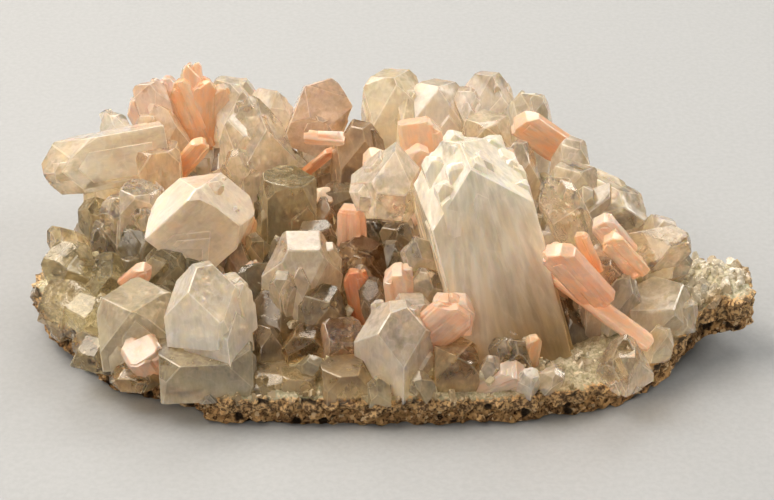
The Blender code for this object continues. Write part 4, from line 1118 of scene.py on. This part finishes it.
def druse(name):
    """The small crystals: frosted, pale, brownish near the rim."""
    t = Tree(name)
    grain = t.attribute("grain", "Vector")
    tint = t.attribute("tint", "Color")
    haze = t.attribute("cloud", "Fac")
    speck = t.noise(grain, 0.55, 2.0, 0.6)
    colour = t.mix(t.span(speck, 0.42, 0.62, 0.30, 0.0), tint, (0.50, 0.40, 0.24))
    shader = t.add("ShaderNodeBsdfPrincipled", {
        "Base Color": colour, "Roughness": t.span(speck, 0.35, 0.7, 0.10, 0.34), "IOR": 1.535,
        "Transmission Weight": t.math("SUBTRACT", 0.95, haze, clamp=True),
    })
    return t.output(t.lit_through(shader, 0.3, (0.90, 0.84, 0.72)))
# ---------------------------------------------------------------- the crust and the rind in full detail
def resample(outline, step):
    """The closed outline with even points, rounded a little."""
    pts = np.array(outline + outline[:1], float)
    seg = np.linalg.norm(np.diff(pts, axis=0), axis=1)
    run = np.concatenate([[0], np.cumsum(seg)])
    count = int(run[-1] / step)
    at = np.linspace(0, run[-1], count, endpoint=False)
    even = np.stack([np.interp(at, run, pts[:, 0]), np.interp(at, run, pts[:, 1])], 1)
    for _ in range(3):
        even = 0.25 * np.roll(even, 1, 0) + 0.5 * even + 0.25 * np.roll(even, -1, 0)
    return even


def outward(even):
    way = np.roll(even, -1, 0) - np.roll(even, 1, 0)
    out = np.stack([way[:, 1], -way[:, 0]], 1)
    return out / np.linalg.norm(out, axis=1, keepdims=True)


def rim_distance(points, even):
    """How far each point is from the rim, in numpy."""
    best = np.full(len(points), 1e9)
    for start in range(0, len(even), 64):
        part = even[start:start + 64]
        best = np.minimum(best, np.sqrt(((points[:, None, :] - part[None]) ** 2).sum(2)).min(1))
    return best


def sheet(name, even, cell, low, high, rows, seed):
    """A closed sheet with side walls of several rows. Gives the object's points, faces, and for each point how far
    up the wall it is (-1 on the top, -2 on the bottom) and its outward direction."""
    rng = np.random.default_rng(seed)
    lowest, highest = even.min(0), even.max(0)
    xs = np.arange(lowest[0], highest[0], cell)
    ys = np.arange(lowest[1], highest[1], cell * 0.866)
    gx, gy = np.meshgrid(xs, ys)
    gx[1::2] += 0.5 * cell
    spots = np.stack([gx.ravel(), gy.ravel()], 1) + rng.uniform(-0.2, 0.2, (gx.size, 2)) * cell
    outline = [tuple(p) for p in even]
    x, y = spots[:, 0], spots[:, 1]
    odd = np.zeros(len(spots), bool)
    for (x0, y0), (x1, y1) in zip(outline, outline[1:] + outline[:1]):
        if y0 == y1:
            continue
        odd ^= ((y0 > y) != (y1 > y)) & (x < (x1 - x0) * (y - y0) / (y1 - y0) + x0)
    spots = spots[odd]
    spots = spots[rim_distance(spots, even) > 0.6 * cell]
    count = len(even)
    flat, _, found, *_ = delaunay_2d_cdt(
        [Vector(p) for p in even] + [Vector(p) for p in spots], [(i, (i + 1) % count) for i in range(count)], [], 1, 1e-6
    )
    flat = np.array([(p[0], p[1]) for p in flat])
    triangles = np.array([t for t in found if len(t) == 3])
    a, b, c = flat[triangles[:, 0]], flat[triangles[:, 1]], flat[triangles[:, 2]]
    turned = (b[:, 0] - a[:, 0]) * (c[:, 1] - a[:, 1]) - (b[:, 1] - a[:, 1]) * (c[:, 0] - a[:, 0]) < 0
    triangles[turned] = triangles[turned][:, ::-1]
    far = rim_distance(flat, even)
    total = len(flat)
    bottom = np.array([low(px, py, e) for (px, py), e in zip(flat, far)])
    top = np.array([high(px, py, e) for (px, py), e in zip(flat, far)])
    points = [np.column_stack([flat, bottom]), np.column_stack([flat, top])]
    faces = [triangles[:, ::-1], triangles + total]
    # the wall: rows of points between the bottom rim and the top rim
    rim_low, rim_high = np.arange(count), np.arange(count) + total
    rings = [rim_low]
    for k in range(1, rows):
        t = k / rows
        ring = np.column_stack([flat[:count], bottom[:count] * (1 - t) + top[:count] * t])
        rings.append(np.arange(count) + 2 * total + (k - 1) * count)
        points.append(ring)
    rings.append(rim_high)
    for lower, upper in zip(rings, rings[1:]):
        n_low, n_up = np.roll(lower, -1), np.roll(upper, -1)
        faces.append(np.column_stack([lower, n_low, n_up]))
        faces.append(np.column_stack([lower, n_up, upper]))
    points = np.concatenate(points)
    faces = np.concatenate(faces)
    out = np.zeros((len(points), 3))
    side = outward(even)
    zone = np.full(len(points), -1.0)
    zone[:total] = -2
    out[:total, 2] = -1
    out[total:2 * total, 2] = 1
    for k, ring in enumerate(rings):
        zone[ring] = k / rows
        out[ring, :2] = side
        out[ring, 2] = 0
    fade = np.concatenate([far, far, np.zeros(len(points) - 2 * total)])
    return points, faces, out, zone, fade


def pores(points, count, box_low, box_high, size, seed):
    """How deep inside a round pore each point is, 0 to 1."""
    rng = np.random.default_rng(seed)
    centres = rng.uniform(box_low, box_high, (count, 3))
    radius = rng.uniform(0.5, 1.3, count) * size
    depth = np.zeros(len(points))
    cells = {}
    reach = size * 1.3
    keys = np.floor(centres / reach).astype(int)
    for i, key in enumerate(map(tuple, keys)):
        cells.setdefault(key, []).append(i)
    mine = np.floor(points / reach).astype(int)
    groups = {}
    for i, key in enumerate(map(tuple, mine)):
        groups.setdefault(key, []).append(i)
    for key, ids in groups.items():
        near = [j for d in itertools.product((-1, 0, 1), repeat=3) for j in cells.get((key[0] + d[0], key[1] + d[1], key[2] + d[2]), [])]
        if near:
            gap = np.sqrt(((points[ids][:, None] - centres[near][None]) ** 2).sum(2)) / radius[near]
            depth[ids] = np.clip(1 - gap.min(1) ** 2, 0, 1)
    return depth


def mesh_from(name, points, faces):
    mesh = bpy.data.meshes.new(name)
    mesh.vertices.add(len(points))
    mesh.vertices.foreach_set("co", np.asarray(points, float).reshape(-1))
    mesh.loops.add(len(faces) * 3)
    mesh.loops.foreach_set("vertex_index", np.asarray(faces, np.int32).reshape(-1))
    mesh.polygons.add(len(faces))
    mesh.polygons.foreach_set("loop_start", np.arange(0, len(faces) * 3, 3, dtype=np.int32))
    mesh.update(calc_edges=True)
    mesh.validate()
    obj = bpy.data.objects.new(name, mesh)
    bpy.context.scene.collection.objects.link(obj)
    return obj


# The hollows of the crust, stained brown and darkened as painted shade on the crust and its small crystals: a middle
# and a reach, in millimetres.
HOLLOWS = [((-6, 8), 13), ((37, -12), 9), ((13, -20), 10), ((26, -12), 12), ((30, -20), 7), ((-14, -16), 8), ((0, -14), 9), ((-30, -2), 9)]


def build_plate(crust_material, rock_material):
    even = resample(PLATE, 0.75)
    rim_noise = waves(np.column_stack([even, np.zeros(len(even))]), 31, 9.0)
    even = even + outward(even) * (rim_noise * 0.5)[:, None]

    def rock_top(x, y, far):
        return rock_height(x, y) + 0.25

    points, faces, out, zone, fade = sheet("rind", even, 1.35, lambda x, y, f: under_height(x, y), rock_top, 7, 41)
    rough = 0.75 * waves(points * [1, 1, 1.6], 42, 4.2) + 0.45 * waves(points, 43, 1.9)
    pit = pores(points, 9000, points.min(0) - 1, points.max(0) + 1, 1.25, 44)
    wall = zone >= 0
    move = np.where(wall, rough * 0.8 - 1.1 * pit - 0.15, 0.0)
    taper = np.where(wall, np.minimum(1.0, 0.45 + 2.5 * np.minimum(zone, 1 - zone + 0.35)), 0)
    points = points + out * (move * taper)[:, None]
    # the underside keeps flat where it rests, and is pitted round it
    under = zone == -2
    lift = np.array([under_height(x, y) for x, y in points[under][:, :2]])
    dent = pores(points[under], 5000, points.min(0) - 1, points.max(0) + 1, 1.6, 45)
    points[under, 2] = lift + 0.30 * np.abs(waves(points[under], 46, 3.0)) * np.minimum(1, lift + 0.35) + 0.9 * dent
    points[wall & (zone == 0), 2] += 0.35 + 0.3 * waves(points[wall & (zone == 0)], 47, 2.5)
    points[:, 2] = np.maximum(points[:, 2], 0.0)
    rock = mesh_from("basalt_rind_rough", (points + SHIFT) * SCALE, faces)
    depth = np.where(wall, pit, 0.0)
    depth[under] = dent
    attribute(rock.data, "pit", "FLOAT", "POINT", depth)
    rock.data.materials.append(rock_material)
    rock.data.shade_smooth()
    rock.data.set_sharp_from_angle(angle=math.radians(50))
    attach(rock, "root")
    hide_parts("basalt_rind")

    def crust_top(x, y, far):
        return crust_height(x, y, min(1.0, far / (0.9 * CELL)))

    points, faces, out, zone, fade = sheet("crust", even, 1.15, lambda x, y, f: rock_height(x, y) - 0.3, crust_top, 6, 51)
    wall = zone >= 0
    top = zone == -1
    rough = 0.75 * waves(points * [1, 1, 1.6], 42, 4.2) + 0.45 * waves(points, 43, 1.9)
    pit = pores(points, 9000, points.min(0) - 1, points.max(0) + 1, 1.1, 52)
    move = np.where(wall, rough * 0.8 - 0.8 * pit - 0.15, 0.0)
    points = points + out * move[:, None]
    bumps = 0.45 * waves(points, 53, 3.0) + 0.30 * waves(points, 54, 1.5)
    points[top | (zone == 1), 2] += (bumps * 0.9)[top | (zone == 1)]
    crust = mesh_from("drusy_crust_rough", (points + SHIFT) * SCALE, faces)
    attribute(crust.data, "pit", "FLOAT", "POINT", np.where(wall, pit, 0.0))
    attribute(crust.data, "rim", "FLOAT", "POINT", np.where(wall, 1.0, np.clip(1 - fade / 2.2, 0, 1)))
    # the hollows: a brown stain on the crust, partly painted shade
    deep = np.zeros(len(points))
    for (cx, cy), reach in HOLLOWS:
        deep = np.maximum(deep, np.clip(1.3 - np.hypot(points[:, 0] - cx, points[:, 1] - cy) / reach, 0, 1))
    attribute(crust.data, "stain_and_shade", "FLOAT", "POINT", deep * 0.95)
    crust.data.materials.append(crust_material)
    crust.data.shade_smooth()
    crust.data.set_sharp_from_angle(angle=math.radians(40))
    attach(crust, "root")
    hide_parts("drusy_crust")
    return even, points[top], rock, crust
# ---------------------------------------------------------------- what grows between the named crystals
BARE = ((43, -27), 11.5)  # a stretch of open crust at the front right: middle and reach


def clearance(points, shapes):
    """How far each point is outside the nearest of the shapes, each a list of planes."""
    best = np.full(len(points), 1e9)
    for planes in shapes:
        normals = np.array([n for n, _ in planes])
        reach = np.array([d for _, d in planes])
        best = np.minimum(best, (points @ normals.T - reach).max(1))
    return best


def lean_axis(rng, most):
    tilt, bearing = math.radians(rng.uniform(4, most)), rng.uniform(0, 2 * math.pi)
    return np.array([math.sin(tilt) * math.cos(bearing), math.sin(tilt) * math.sin(bearing), math.cos(tilt)])


def plan_fillers(shapes, even):
    """Middle-sized crystals in the gaps between the named ones, the biggest gaps first."""
    rng = random.Random(811)
    xs, ys = np.meshgrid(np.arange(-76, 77, 0.8), np.arange(-38, 52, 0.8))
    spots = np.column_stack([xs.ravel(), ys.ravel()])
    outline = [tuple(p) for p in even]
    spots = spots[[inside(p, outline) for p in spots]]
    rim = rim_distance(spots, even)
    spots, rim = spots[rim > 1.6], rim[rim > 1.6]
    ground = np.array([crust_height(x, y, 1.0) for x, y in spots])
    gap = clearance(np.column_stack([spots, ground + 2.5]), shapes)
    bare = np.hypot(spots[:, 0] - BARE[0][0], spots[:, 1] - BARE[0][1]) < BARE[1]
    gap[bare] = -1
    found = []
    wing = (spots[:, 0] > 56) | (spots[:, 0] < -66)
    gap[wing] = np.minimum(gap[wing], 0.9)
    for _ in range(150):
        score = gap + np.array([rng.random() for _ in range(len(gap))]) * 1.2
        k = int(score.argmax())
        if gap[k] < 0.35:
            break
        x, y = spots[k]
        size = min(3.5, 1.25 + 0.55 * gap[k] + rng.uniform(-0.25, 0.9), 0.75 + rim[k] * 0.75)
        front = ramp(y, -6, -30)
        tall = size * rng.uniform(1.6, 3.4) * (1.25 - 0.5 * front) + (2.5 if y > -8 and x < 45 else 0.5)
        tall = min(tall, 11.0)
        if wing[k]:
            size, tall = min(size, 1.5), min(tall, 2.6)
        blade = -12 < y < 30 and abs(x) < 45 and rng.random() < 0.20
        axis = lean_axis(rng, 34)
        out = spots[k] - np.array([0.0, 6.0])
        if rim[k] < 6:
            push = 0.35 * out / max(1.0, np.linalg.norm(out))
            axis = unit(axis + np.array([push[0], push[1], 0.0]))
        foot = np.array([x, y, ground[k]])
        found.append((foot + axis * tall, axis, size, tall + 1.8, "S" if blade else "A"))
        gap = np.minimum(gap, np.hypot(spots[:, 0] - x, spots[:, 1] - y) - size * 1.05)
    # crystals that hang over the rim at the left front, and a few low ones elsewhere round it
    sides = outward(even)
    run = 0.0
    for k in range(len(even)):
        run -= float(np.linalg.norm(even[k] - even[k - 1]))
        x, y = even[k]
        dense = y < 2 and x < -38
        if run > 0 or not (dense or (y > 12 or x < -60)):
            continue
        size = rng.uniform(1.7, 3.1) if dense else rng.uniform(1.1, 2.2)
        run = size * (1.25 if dense else 2.6)
        out = np.array([sides[k][0], sides[k][1], 0.0])
        axis = unit(out * rng.uniform(0.5, 1.0) + np.array([rng.uniform(-0.35, 0.35), rng.uniform(-0.35, 0.35), rng.uniform(0.45, 1.0)]))
        z = under_height(x, y) + rng.uniform(3.4, 6.0)
        tall = size * rng.uniform(0.6, 1.1)
        found.append((np.array([x, y, z]) - out * 1.3 + axis * tall, axis, size, tall + 3.0, "A"))
    return found


def region_look(rng, x, y, blade):
    if blade:
        return rng.choice(("s_peach", "s_pink", "s_salmon", "s_pink")), 0.0, "warm"
    # painted shade: the front middle, the front left, the dark middle and the hollow at the front right give their
    # fillers the dark tints, for the shade that lies there
    if y < -8 and -40 < x < 12:
        return rng.choice(("deep_shade", "moss_shade", "smoky_shade", "shade", "shade", "pink")), rng.uniform(0.15, 0.4), rng.choice(("brown", "green", "warm"))
    if x < -38:
        tint = rng.choice(("shade", "moss_shade", "shade", "dim") if y < 5 else ("grey", "clear", "cream"))
        return tint, rng.uniform(0.1, 0.35), rng.choice(("green", "warm"))
    if -28 < x < 6 and y < 26:
        return rng.choice(("deep_shade", "smoky_shade", "shade", "dim")), rng.uniform(0.1, 0.35), rng.choice(("green", "brown"))
    if 26 < x < 46 and -22 < y < -4:
        return rng.choice(("deep_shade", "smoky_shade", "shade")), rng.uniform(0.1, 0.3), "brown"
    if x > 40:
        return rng.choice(("grey", "clear", "white", "cream")), rng.uniform(0.2, 0.5), "warm"
    return rng.choice(("clear", "cream", "white", "grey", "peach")), rng.uniform(0.2, 0.5), "warm"


def build_fillers(materials, even):
    """The middle-sized crystals, grouped into a few pieces by place."""
    rng = random.Random(929)
    groups = {}
    for number, (top, axis, size, length, kind) in enumerate(plan_fillers([c["planes"] for c in crystals], even)):
        spin = rng.uniform(0, 90)
        deep = size * (rng.uniform(0.8, 1.0) if kind == "A" else rng.uniform(0.4, 0.6))
        slope = PYRAMID if kind == "A" else BLADE_POINT
        point = size * (rng.choice((0.25, 0.5, 0.9, 1.6)) if kind == "A" else 0.5)
        planes = crystal_planes(kind, top, axis, spin, size, deep, point, length, slope, rng)
        name = "L%03d" % number
        LOOK[name] = region_look(rng, top[0], top[1], kind == "S")
        crystal = {
            "name": name, "kind": kind, "planes": planes, "top": top, "axis": axis, "spin": spin, "a": size, "b": deep,
            "point": point, "length": length, "slope": slope,
            "floor": rock_height(top[0], top[1]) + 1.0,
        }
        planes.append((np.array([0.0, 0.0, -1.0]), -min(crust_height(top[0], top[1], 1.0) - 2.2, top[2] - 2.5)))
        groups.setdefault((kind, int(top[0] // 17), int(top[1] // 17)), []).append(crystal)
    made = {}
    for key, members in sorted(groups.items()):
        name = ("small_apophyllite_" if key[0] == "A" else "small_stilbite_") + ("left" if key[1] < 0 else "right")
        made.setdefault(name, []).append(build_solid(name, members, materials, None, 3.2))
    for name, objs in sorted(made.items()):
        joined(objs, name)
    return sum(len(m) for m in groups.values())


def joined(objs, name):
    """One object in place of several."""
    bpy.ops.object.select_all(action="DESELECT")
    for obj in objs:
        obj.select_set(True)
    bpy.context.view_layer.objects.active = objs[0]
    if len(objs) > 1:
        bpy.ops.object.join()
    objs[0].name = name


def template(kind, seed):
    """A small crystal of half width 1 with its base at the origin, as points and triangles."""
    rng = random.Random(seed)
    length = rng.uniform(1.6, 3.4)
    b = rng.uniform(0.7, 1.0)
    planes = crystal_planes(kind, np.array([0, 0, length]), np.array([0, 0, 1.0]), 0.0, 1.0, b, rng.choice((0.05, 0.3, 0.7, 1.2)),
                            length + 1.2, PYRAMID + rng.uniform(-8, 6), rng)
    corners = points_of(planes)
    bm = bmesh.new()
    for p in corners:
        bm.verts.new(p)
    bmesh.ops.convex_hull(bm, input=bm.verts)
    bmesh.ops.recalc_face_normals(bm, faces=bm.faces)
    bmesh.ops.triangulate(bm, faces=bm.faces)
    bm.verts.index_update()
    made = np.array([v.co[:] for v in bm.verts]), np.array([[v.index for v in f.verts] for f in bm.faces])
    bm.free()
    return made


def turn_to(axis, spin):
    x, y = cross_axes(axis, spin)
    return np.array([x, y, axis])


def build_druse(even, material):
    """Thousands of small crystals on the open crust, at the rim and up the lower flanks of the big ones."""
    rng = random.Random(515)
    shapes = [c["planes"] for c in crystals]
    outline = [tuple(p) for p in even]
    templates = [template("A", 60 + k) for k in range(14)]
    spots = np.array([(rng.uniform(-77, 77), rng.uniform(-38, 52)) for _ in range(5100)])
    spots = spots[[inside(p, outline) for p in spots]]
    rim = rim_distance(spots, even)
    ground = np.array([crust_height(x, y, min(1.0, r / (0.9 * CELL))) for (x, y), r in zip(spots, rim)])
    gap = clearance(np.column_stack([spots, ground + 0.6]), shapes)
    keep = (rim > 0.5) & (gap > -0.35)
    spots, rim, ground, gap = spots[keep], rim[keep], ground[keep], gap[keep]
    seeds = []
    for (x, y), r, z, g in zip(spots, rim, ground, gap):
        in_bare = math.hypot(x - BARE[0][0], y - BARE[0][1]) < BARE[1]
        size = 0.32 + 0.75 * rng.random() ** 2.2
        if x > 58:
            size += 0.35 * rng.random()
        if in_bare:
            if rng.random() < 0.45:
                continue
            size = 0.25 + 0.4 * rng.random() ** 2
        if r < 2.0:
            size *= 0.75
        seeds.append((np.array([x, y, z - 0.5 * size]), lean_axis(rng, 58), size))
    # up the flanks
    for crystal in crystals:
        corners = points_of(crystal["planes"])
        for _ in range(5 if crystal["a"] < 4 else 8):
            side = rng.randrange(4)
            x, y = cross_axes(crystal["axis"], crystal["spin"])
            out = (x, -x, y, -y)[side]
            reach = (crystal["a"], crystal["a"], crystal["b"], crystal["b"])[side]
            other = (y, y, x, x)[side] * (crystal["b"] if side < 2 else crystal["a"])
            down = rng.uniform(0.45, 1.0) * min(crystal["length"], 20)
            place = crystal["top"] + out * (reach - 0.15) + other * rng.uniform(-0.95, 0.95) - crystal["axis"] * down
            if out[2] < -0.45 or place[2] < ground.min() or not inside((place[0], place[1]), outline):
                continue
            if place[2] > crust_height(place[0], place[1], 1.0) + 5.5:
                continue
            axis = unit(out * rng.uniform(0.6, 1.2) + np.array([0, 0, rng.uniform(0.2, 1.0)]) + 0.3 * lean_axis(rng, 80))
            seeds.append((place, axis, 0.4 + 0.8 * rng.random() ** 1.6))
    blocks = {}
    for place, axis, size in seeds:
        base, tris = templates[rng.randrange(len(templates))]
        turned = (base * size * np.array([1, 1, rng.uniform(0.7, 1.25)])) @ turn_to(axis, rng.uniform(0, 90)) + place
        blocks.setdefault((int(place[0] // 13), int(place[1] // 13)), []).append((turned, tris))
    return blocks, len(seeds)


def join_druse(blocks, material, placed):
    """One solid per block, cut free of the big crystals, then all joined into two pieces."""
    halves = {}
    for key in sorted(blocks):
        objs = []
        low, high = np.full(3, 1e9), np.full(3, -1e9)
        for turned, tris in blocks[key]:
            mesh = bpy.data.meshes.new("grain")
            mesh.from_pydata(turned.tolist(), [], tris.tolist())
            objs.append(bpy.data.objects.new("grain", mesh))
            low, high = np.minimum(low, turned.min(0)), np.maximum(high, turned.max(0))
        obj = objs[0]
        bpy.context.scene.collection.objects.link(obj)
        combine(obj, objs[1:], "UNION")
        cutters = [hull_mesh("cutter", c) for c, c0, c1 in placed if (c0 < high).all() and (c1 > low).all()]
        combine(obj, cutters, "DIFFERENCE")
        refine(obj, 99.0, 0.02)
        halves.setdefault("left" if key[0] < 0 else "right", []).append(obj)
    for side, objs in sorted(halves.items()):
        points, faces, start = [], [], 0
        for obj in objs:
            p, f = corner_arrays(obj.data)
            points.append(p)
            faces.append(f + start)
            start += len(p)
            data = obj.data
            bpy.data.objects.remove(obj)
            bpy.data.meshes.remove(data)
        points, faces = np.concatenate(points), np.concatenate(faces)
        obj = mesh_from("drusy_crystals_" + side, (points + SHIFT) * SCALE, faces)
        mesh = obj.data
        p, f = corner_arrays(mesh)
        centre = (p[f].mean(1) / SCALE) - SHIFT
        blend = np.clip(0.5 + 0.6 * waves(centre, 71, 14.0), 0, 1)[:, None]
        wing = np.clip((centre[:, :1] - 50.0) / 10.0, 0, 1)
        blend = blend + (0.85 - blend) * wing
        tone = np.array(TINT["cream"]) * blend + np.array(TINT["olive"]) * (1 - blend)
        tone = tone + wing * (np.array((0.97, 0.95, 0.88)) - tone) * 0.7
        far = rim_distance(centre[:, :2], even_rim)
        brown = np.clip(1.15 - far / 2.4, 0, 0.8)[:, None]
        tone = tone * (1 - brown) + np.array((0.66, 0.50, 0.30)) * brown
        # painted shade: the small crystals in the hollows are darkened
        deep = np.zeros(len(centre))
        for (cx, cy), reach in HOLLOWS:
            deep = np.maximum(deep, np.clip(1.2 - np.hypot(centre[:, 0] - cx, centre[:, 1] - cy) / reach, 0, 1))
        tone = tone * (1 - 0.62 * deep[:, None] * np.array([0.85, 0.95, 1.1]))
        attribute(mesh, "tint", "FLOAT_COLOR", "FACE", np.column_stack([tone, np.ones(len(tone))]))
        attribute(mesh, "cloud", "FLOAT", "FACE", np.clip(0.55 + 0.2 * waves(centre, 72, 5.0), 0, 0.9))
        attribute(mesh, "grain", "FLOAT_VECTOR", "CORNER", (p[f] / SCALE) * 1.7)
        mesh.materials.append(material)
        mesh.shade_flat()
        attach(obj, "root")


def build_veils(material):
    """Healed cracks inside the larger crystals: thin wavy lenses, milky and broken up."""
    points, faces, start = [], [], 0
    for crystal in crystals:
        if crystal["kind"] != "A" or crystal["a"] < 3.4:
            continue
        rng = np.random.default_rng(hash_of(crystal["name"]) + 9)
        normals = np.array([n for n, _ in crystal["planes"]])
        reach = np.array([d for _, d in crystal["planes"]]) - 0.7
        count = 2 + int(crystal["a"] > 5) + 2 * int(crystal["a"] > 7.5)
        for _ in range(count):
            middle = crystal["top"] - crystal["axis"] * rng.uniform(0.2, 0.75) * min(crystal["length"], 20)
            middle = middle + rng.uniform(-0.45, 0.45, 3) * crystal["a"]
            if (normals @ middle - reach).max() > -0.4:
                continue
            way = rng.normal(size=3)
            way /= np.linalg.norm(way)
            one = np.cross(way, rng.normal(size=3))
            one /= np.linalg.norm(one)
            two = np.cross(way, one)
            rings, spokes = 5, 18
            wide = crystal["a"] * rng.uniform(0.45, 0.95)
            wobble = 1 + 0.25 * np.sin(np.arange(spokes) * 2 * math.pi / spokes * 3 + rng.uniform(0, 6)) + rng.uniform(-0.12, 0.12, spokes)
            phase = rng.uniform(0, 6, 2)
            flat = [middle]
            for r in range(1, rings + 1):
                for s in range(spokes):
                    angle = 2 * math.pi * s / spokes
                    d = wide * r / rings * wobble[s]
                    step = one * math.cos(angle) * d + two * math.sin(angle) * d
                    step = step + way * 0.10 * wide * (math.sin(2.2 * d / wide + phase[0]) + math.sin(angle * 2 + phase[1]) * r / rings)
                    over = normals @ step
                    room = np.where(over > 1e-9, (reach - normals @ middle) / np.maximum(over, 1e-9), 9.0).min()
                    flat.append(middle + step * min(1.0, max(0.02, room * (0.9 + 0.1 * r / rings))))
            flat = np.array(flat)
            total = len(flat)
            thick = np.array([1.0] + [math.sqrt(max(0.0, 1 - (r / rings) ** 2)) for r in range(1, rings + 1) for _ in range(spokes)]) * 0.05
            rim = np.arange(total - spokes, total)
            upper, lower = flat + way * thick[:, None], flat - way * thick[:, None]
            lower[rim] = upper[rim]
            tris = []
            for s in range(spokes):
                n = (s + 1) % spokes
                tris.append((0, 1 + s, 1 + n))
                for r in range(rings - 1):
                    a, b = 1 + r * spokes + s, 1 + r * spokes + n
                    c, d = a + spokes, b + spokes
                    tris += [(a, c, d), (a, d, b)]
            tris = np.array(tris)
            # the rim's points are shared by both sides, so the lens is closed
            index_low = np.arange(total) + total
            index_low[rim] = rim
            points.append(np.concatenate([upper, lower[: total - spokes]]))
            faces.append(np.concatenate([tris, index_low[tris][:, ::-1]]) + start)
            start += 2 * total - spokes
    obj = mesh_from("inner_veils", (np.concatenate(points) + SHIFT) * SCALE, np.concatenate(faces))
    obj.data.materials.append(material)
    obj.data.shade_smooth()
    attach(obj, "root")
# ---------------------------------------------------------------- floor, light and camera
def floor_material():
    t = Tree("pale_floor")
    place = millimetres(t)
    fine = t.noise(place, 0.8, 3.0, 0.6)
    colour = t.mix(t.span(fine, 0.3, 0.7), (0.350, 0.368, 0.385), (0.375, 0.393, 0.41))
    shader = t.add("ShaderNodeBsdfPrincipled", {
        "Base Color": colour, "Roughness": 0.62, "Normal": t.bump(fine, 0.05, 0.0003), "Specular IOR Level": 0.3,
    })
    return t.output(shader.outputs[0])


def area(name, place, target, size, power, colour):
    light = bpy.data.lights.new(name, "AREA")
    light.shape = "RECTANGLE"
    light.size, light.size_y = size
    light.energy = power
    light.color = colour
    obj = bpy.data.objects.new(name, light)
    obj.location = place
    obj.rotation_euler = (Vector(target) - Vector(place)).to_track_quat("-Z", "Y").to_euler()
    bpy.context.scene.collection.objects.link(obj)
    return obj


def build_stage():
    scene = bpy.context.scene
    bm = bmesh.new()
    bmesh.ops.create_grid(bm, x_segments=8, y_segments=8, size=1.0)
    mesh = bpy.data.meshes.new("pale_floor")
    bm.to_mesh(mesh)
    bm.free()
    mesh.materials.append(floor_material())
    ground = bpy.data.objects.new("pale_floor", mesh)
    ground.location = (0, 0, -0.00002)
    scene.collection.objects.link(ground)
    ground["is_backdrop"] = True

    area("key", (-0.40, 0.16, 0.62), (0, 0, 0.01), (0.60, 0.60), 8.7, (1.0, 0.905, 0.80))
    area("side", (0.62, 0.10, 0.40), (0, 0, 0.01), (0.30, 0.30), 2.8, (1.0, 0.95, 0.88))
    area("front", (-0.30, -0.70, 0.50), (0, 0, 0.02), (0.45, 0.45), 2.6, (1.0, 0.93, 0.85))
    area("back", (0.12, 0.52, 0.62), (0, 0, 0.02), (0.55, 0.30), 3.2, (1.0, 0.94, 0.86))

    world = bpy.data.worlds.new("studio")
    scene.world = world
    world.use_nodes = True
    tree = world.node_tree
    tree.nodes.clear()
    sky = tree.nodes.new("ShaderNodeBackground")
    sky.inputs["Color"].default_value = (0.80, 0.76, 0.71, 1)
    # the backdrop is pale behind the specimen, and dim as a light on it
    seen = tree.nodes.new("ShaderNodeLightPath")
    power = tree.nodes.new("ShaderNodeMath")
    power.operation = "MULTIPLY_ADD"
    power.inputs[1].default_value = 0.72
    power.inputs[2].default_value = 0.22
    tree.links.new(seen.outputs["Is Camera Ray"], power.inputs[0])
    tree.links.new(power.outputs[0], sky.inputs["Strength"])
    out = tree.nodes.new("ShaderNodeOutputWorld")
    tree.links.new(sky.outputs[0], out.inputs[0])

    lens = bpy.data.cameras.new("camera")
    lens.lens = 85.0
    lens.sensor_width = 36.0
    lens.clip_start = 0.01
    lens.clip_end = 20.0
    camera = bpy.data.objects.new("camera", lens)
    target = Vector((0.0, 0.0, BOARD_TARGET_Z)) + Vector(SHIFT)
    place = (target - Vector(INTO) * BOARD_REACH) * SCALE
    camera.location = place
    camera.rotation_euler = (target * SCALE - place).to_track_quat("-Z", "Y").to_euler()
    scene.collection.objects.link(camera)
    scene.camera = camera

    scene.view_settings.view_transform = "Standard"
    scene.view_settings.look = "Medium High Contrast"
    scene.view_settings.exposure = -0.31
    cycles = scene.cycles
    cycles.max_bounces = 14
    cycles.transmission_bounces = 12
    cycles.glossy_bounces = 6
    cycles.diffuse_bounces = 4
    cycles.transparent_max_bounces = 24
    cycles.volume_bounces = 0
    cycles.caustics_reflective = False
    cycles.caustics_refractive = True
    cycles.blur_glossy = 0.5
    cycles.sample_clamp_indirect = 6.0
    cycles.use_adaptive_sampling = True
    cycles.adaptive_threshold = 0.08
    cycles.adaptive_min_samples = 12
    cycles.use_denoising = True
    cycles.denoiser = "OPENIMAGEDENOISE"
# ---------------------------------------------------------------- put it together
# MATS-BEGIN
seam = boundary("crystal_seam", (0.70, 0.64, 0.50))
WATERS = [
    apophyllite("apophyllite_warm", (0.96, 0.915, 0.80), 80.0, (0.95, 0.84, 0.62)),
    apophyllite("apophyllite_green", (0.905, 0.89, 0.82), 110.0, (0.84, 0.81, 0.66)),
    apophyllite("apophyllite_brown", (0.90, 0.80, 0.62), 150.0, (0.78, 0.58, 0.34)),
]
blades = [stilbite("stilbite_blade"), stilbite("stilbite_seam")]
crust_material, rock_material = crust_skin("drusy_crust_skin"), basalt("basalt_rock")
druse_material = druse("drusy_apophyllite")
veil_material = inner_veil("inner_veil")
# MATS-END
build_crystals({"A": WATERS + [seam], "S": blades})
print("crystals", round(time.perf_counter() - START, 1))
even, crust_points, rock, crust = build_plate(crust_material, rock_material)
print("plate", round(time.perf_counter() - START, 1))
even_rim = even
count = build_fillers({"A": WATERS + [seam], "S": blades}, even)
print("fillers", count, round(time.perf_counter() - START, 1))
blocks, count = build_druse(even, druse_material)
join_druse(blocks, druse_material, placed)
print("druse", count, round(time.perf_counter() - START, 1))
build_veils(veil_material)
build_stage()

total = 0
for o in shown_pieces():
    o.data.calc_loop_triangles()
    total += len(o.data.loop_triangles)
print("pieces", len(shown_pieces()), "triangles", total, "seconds", round(time.perf_counter() - START, 1))
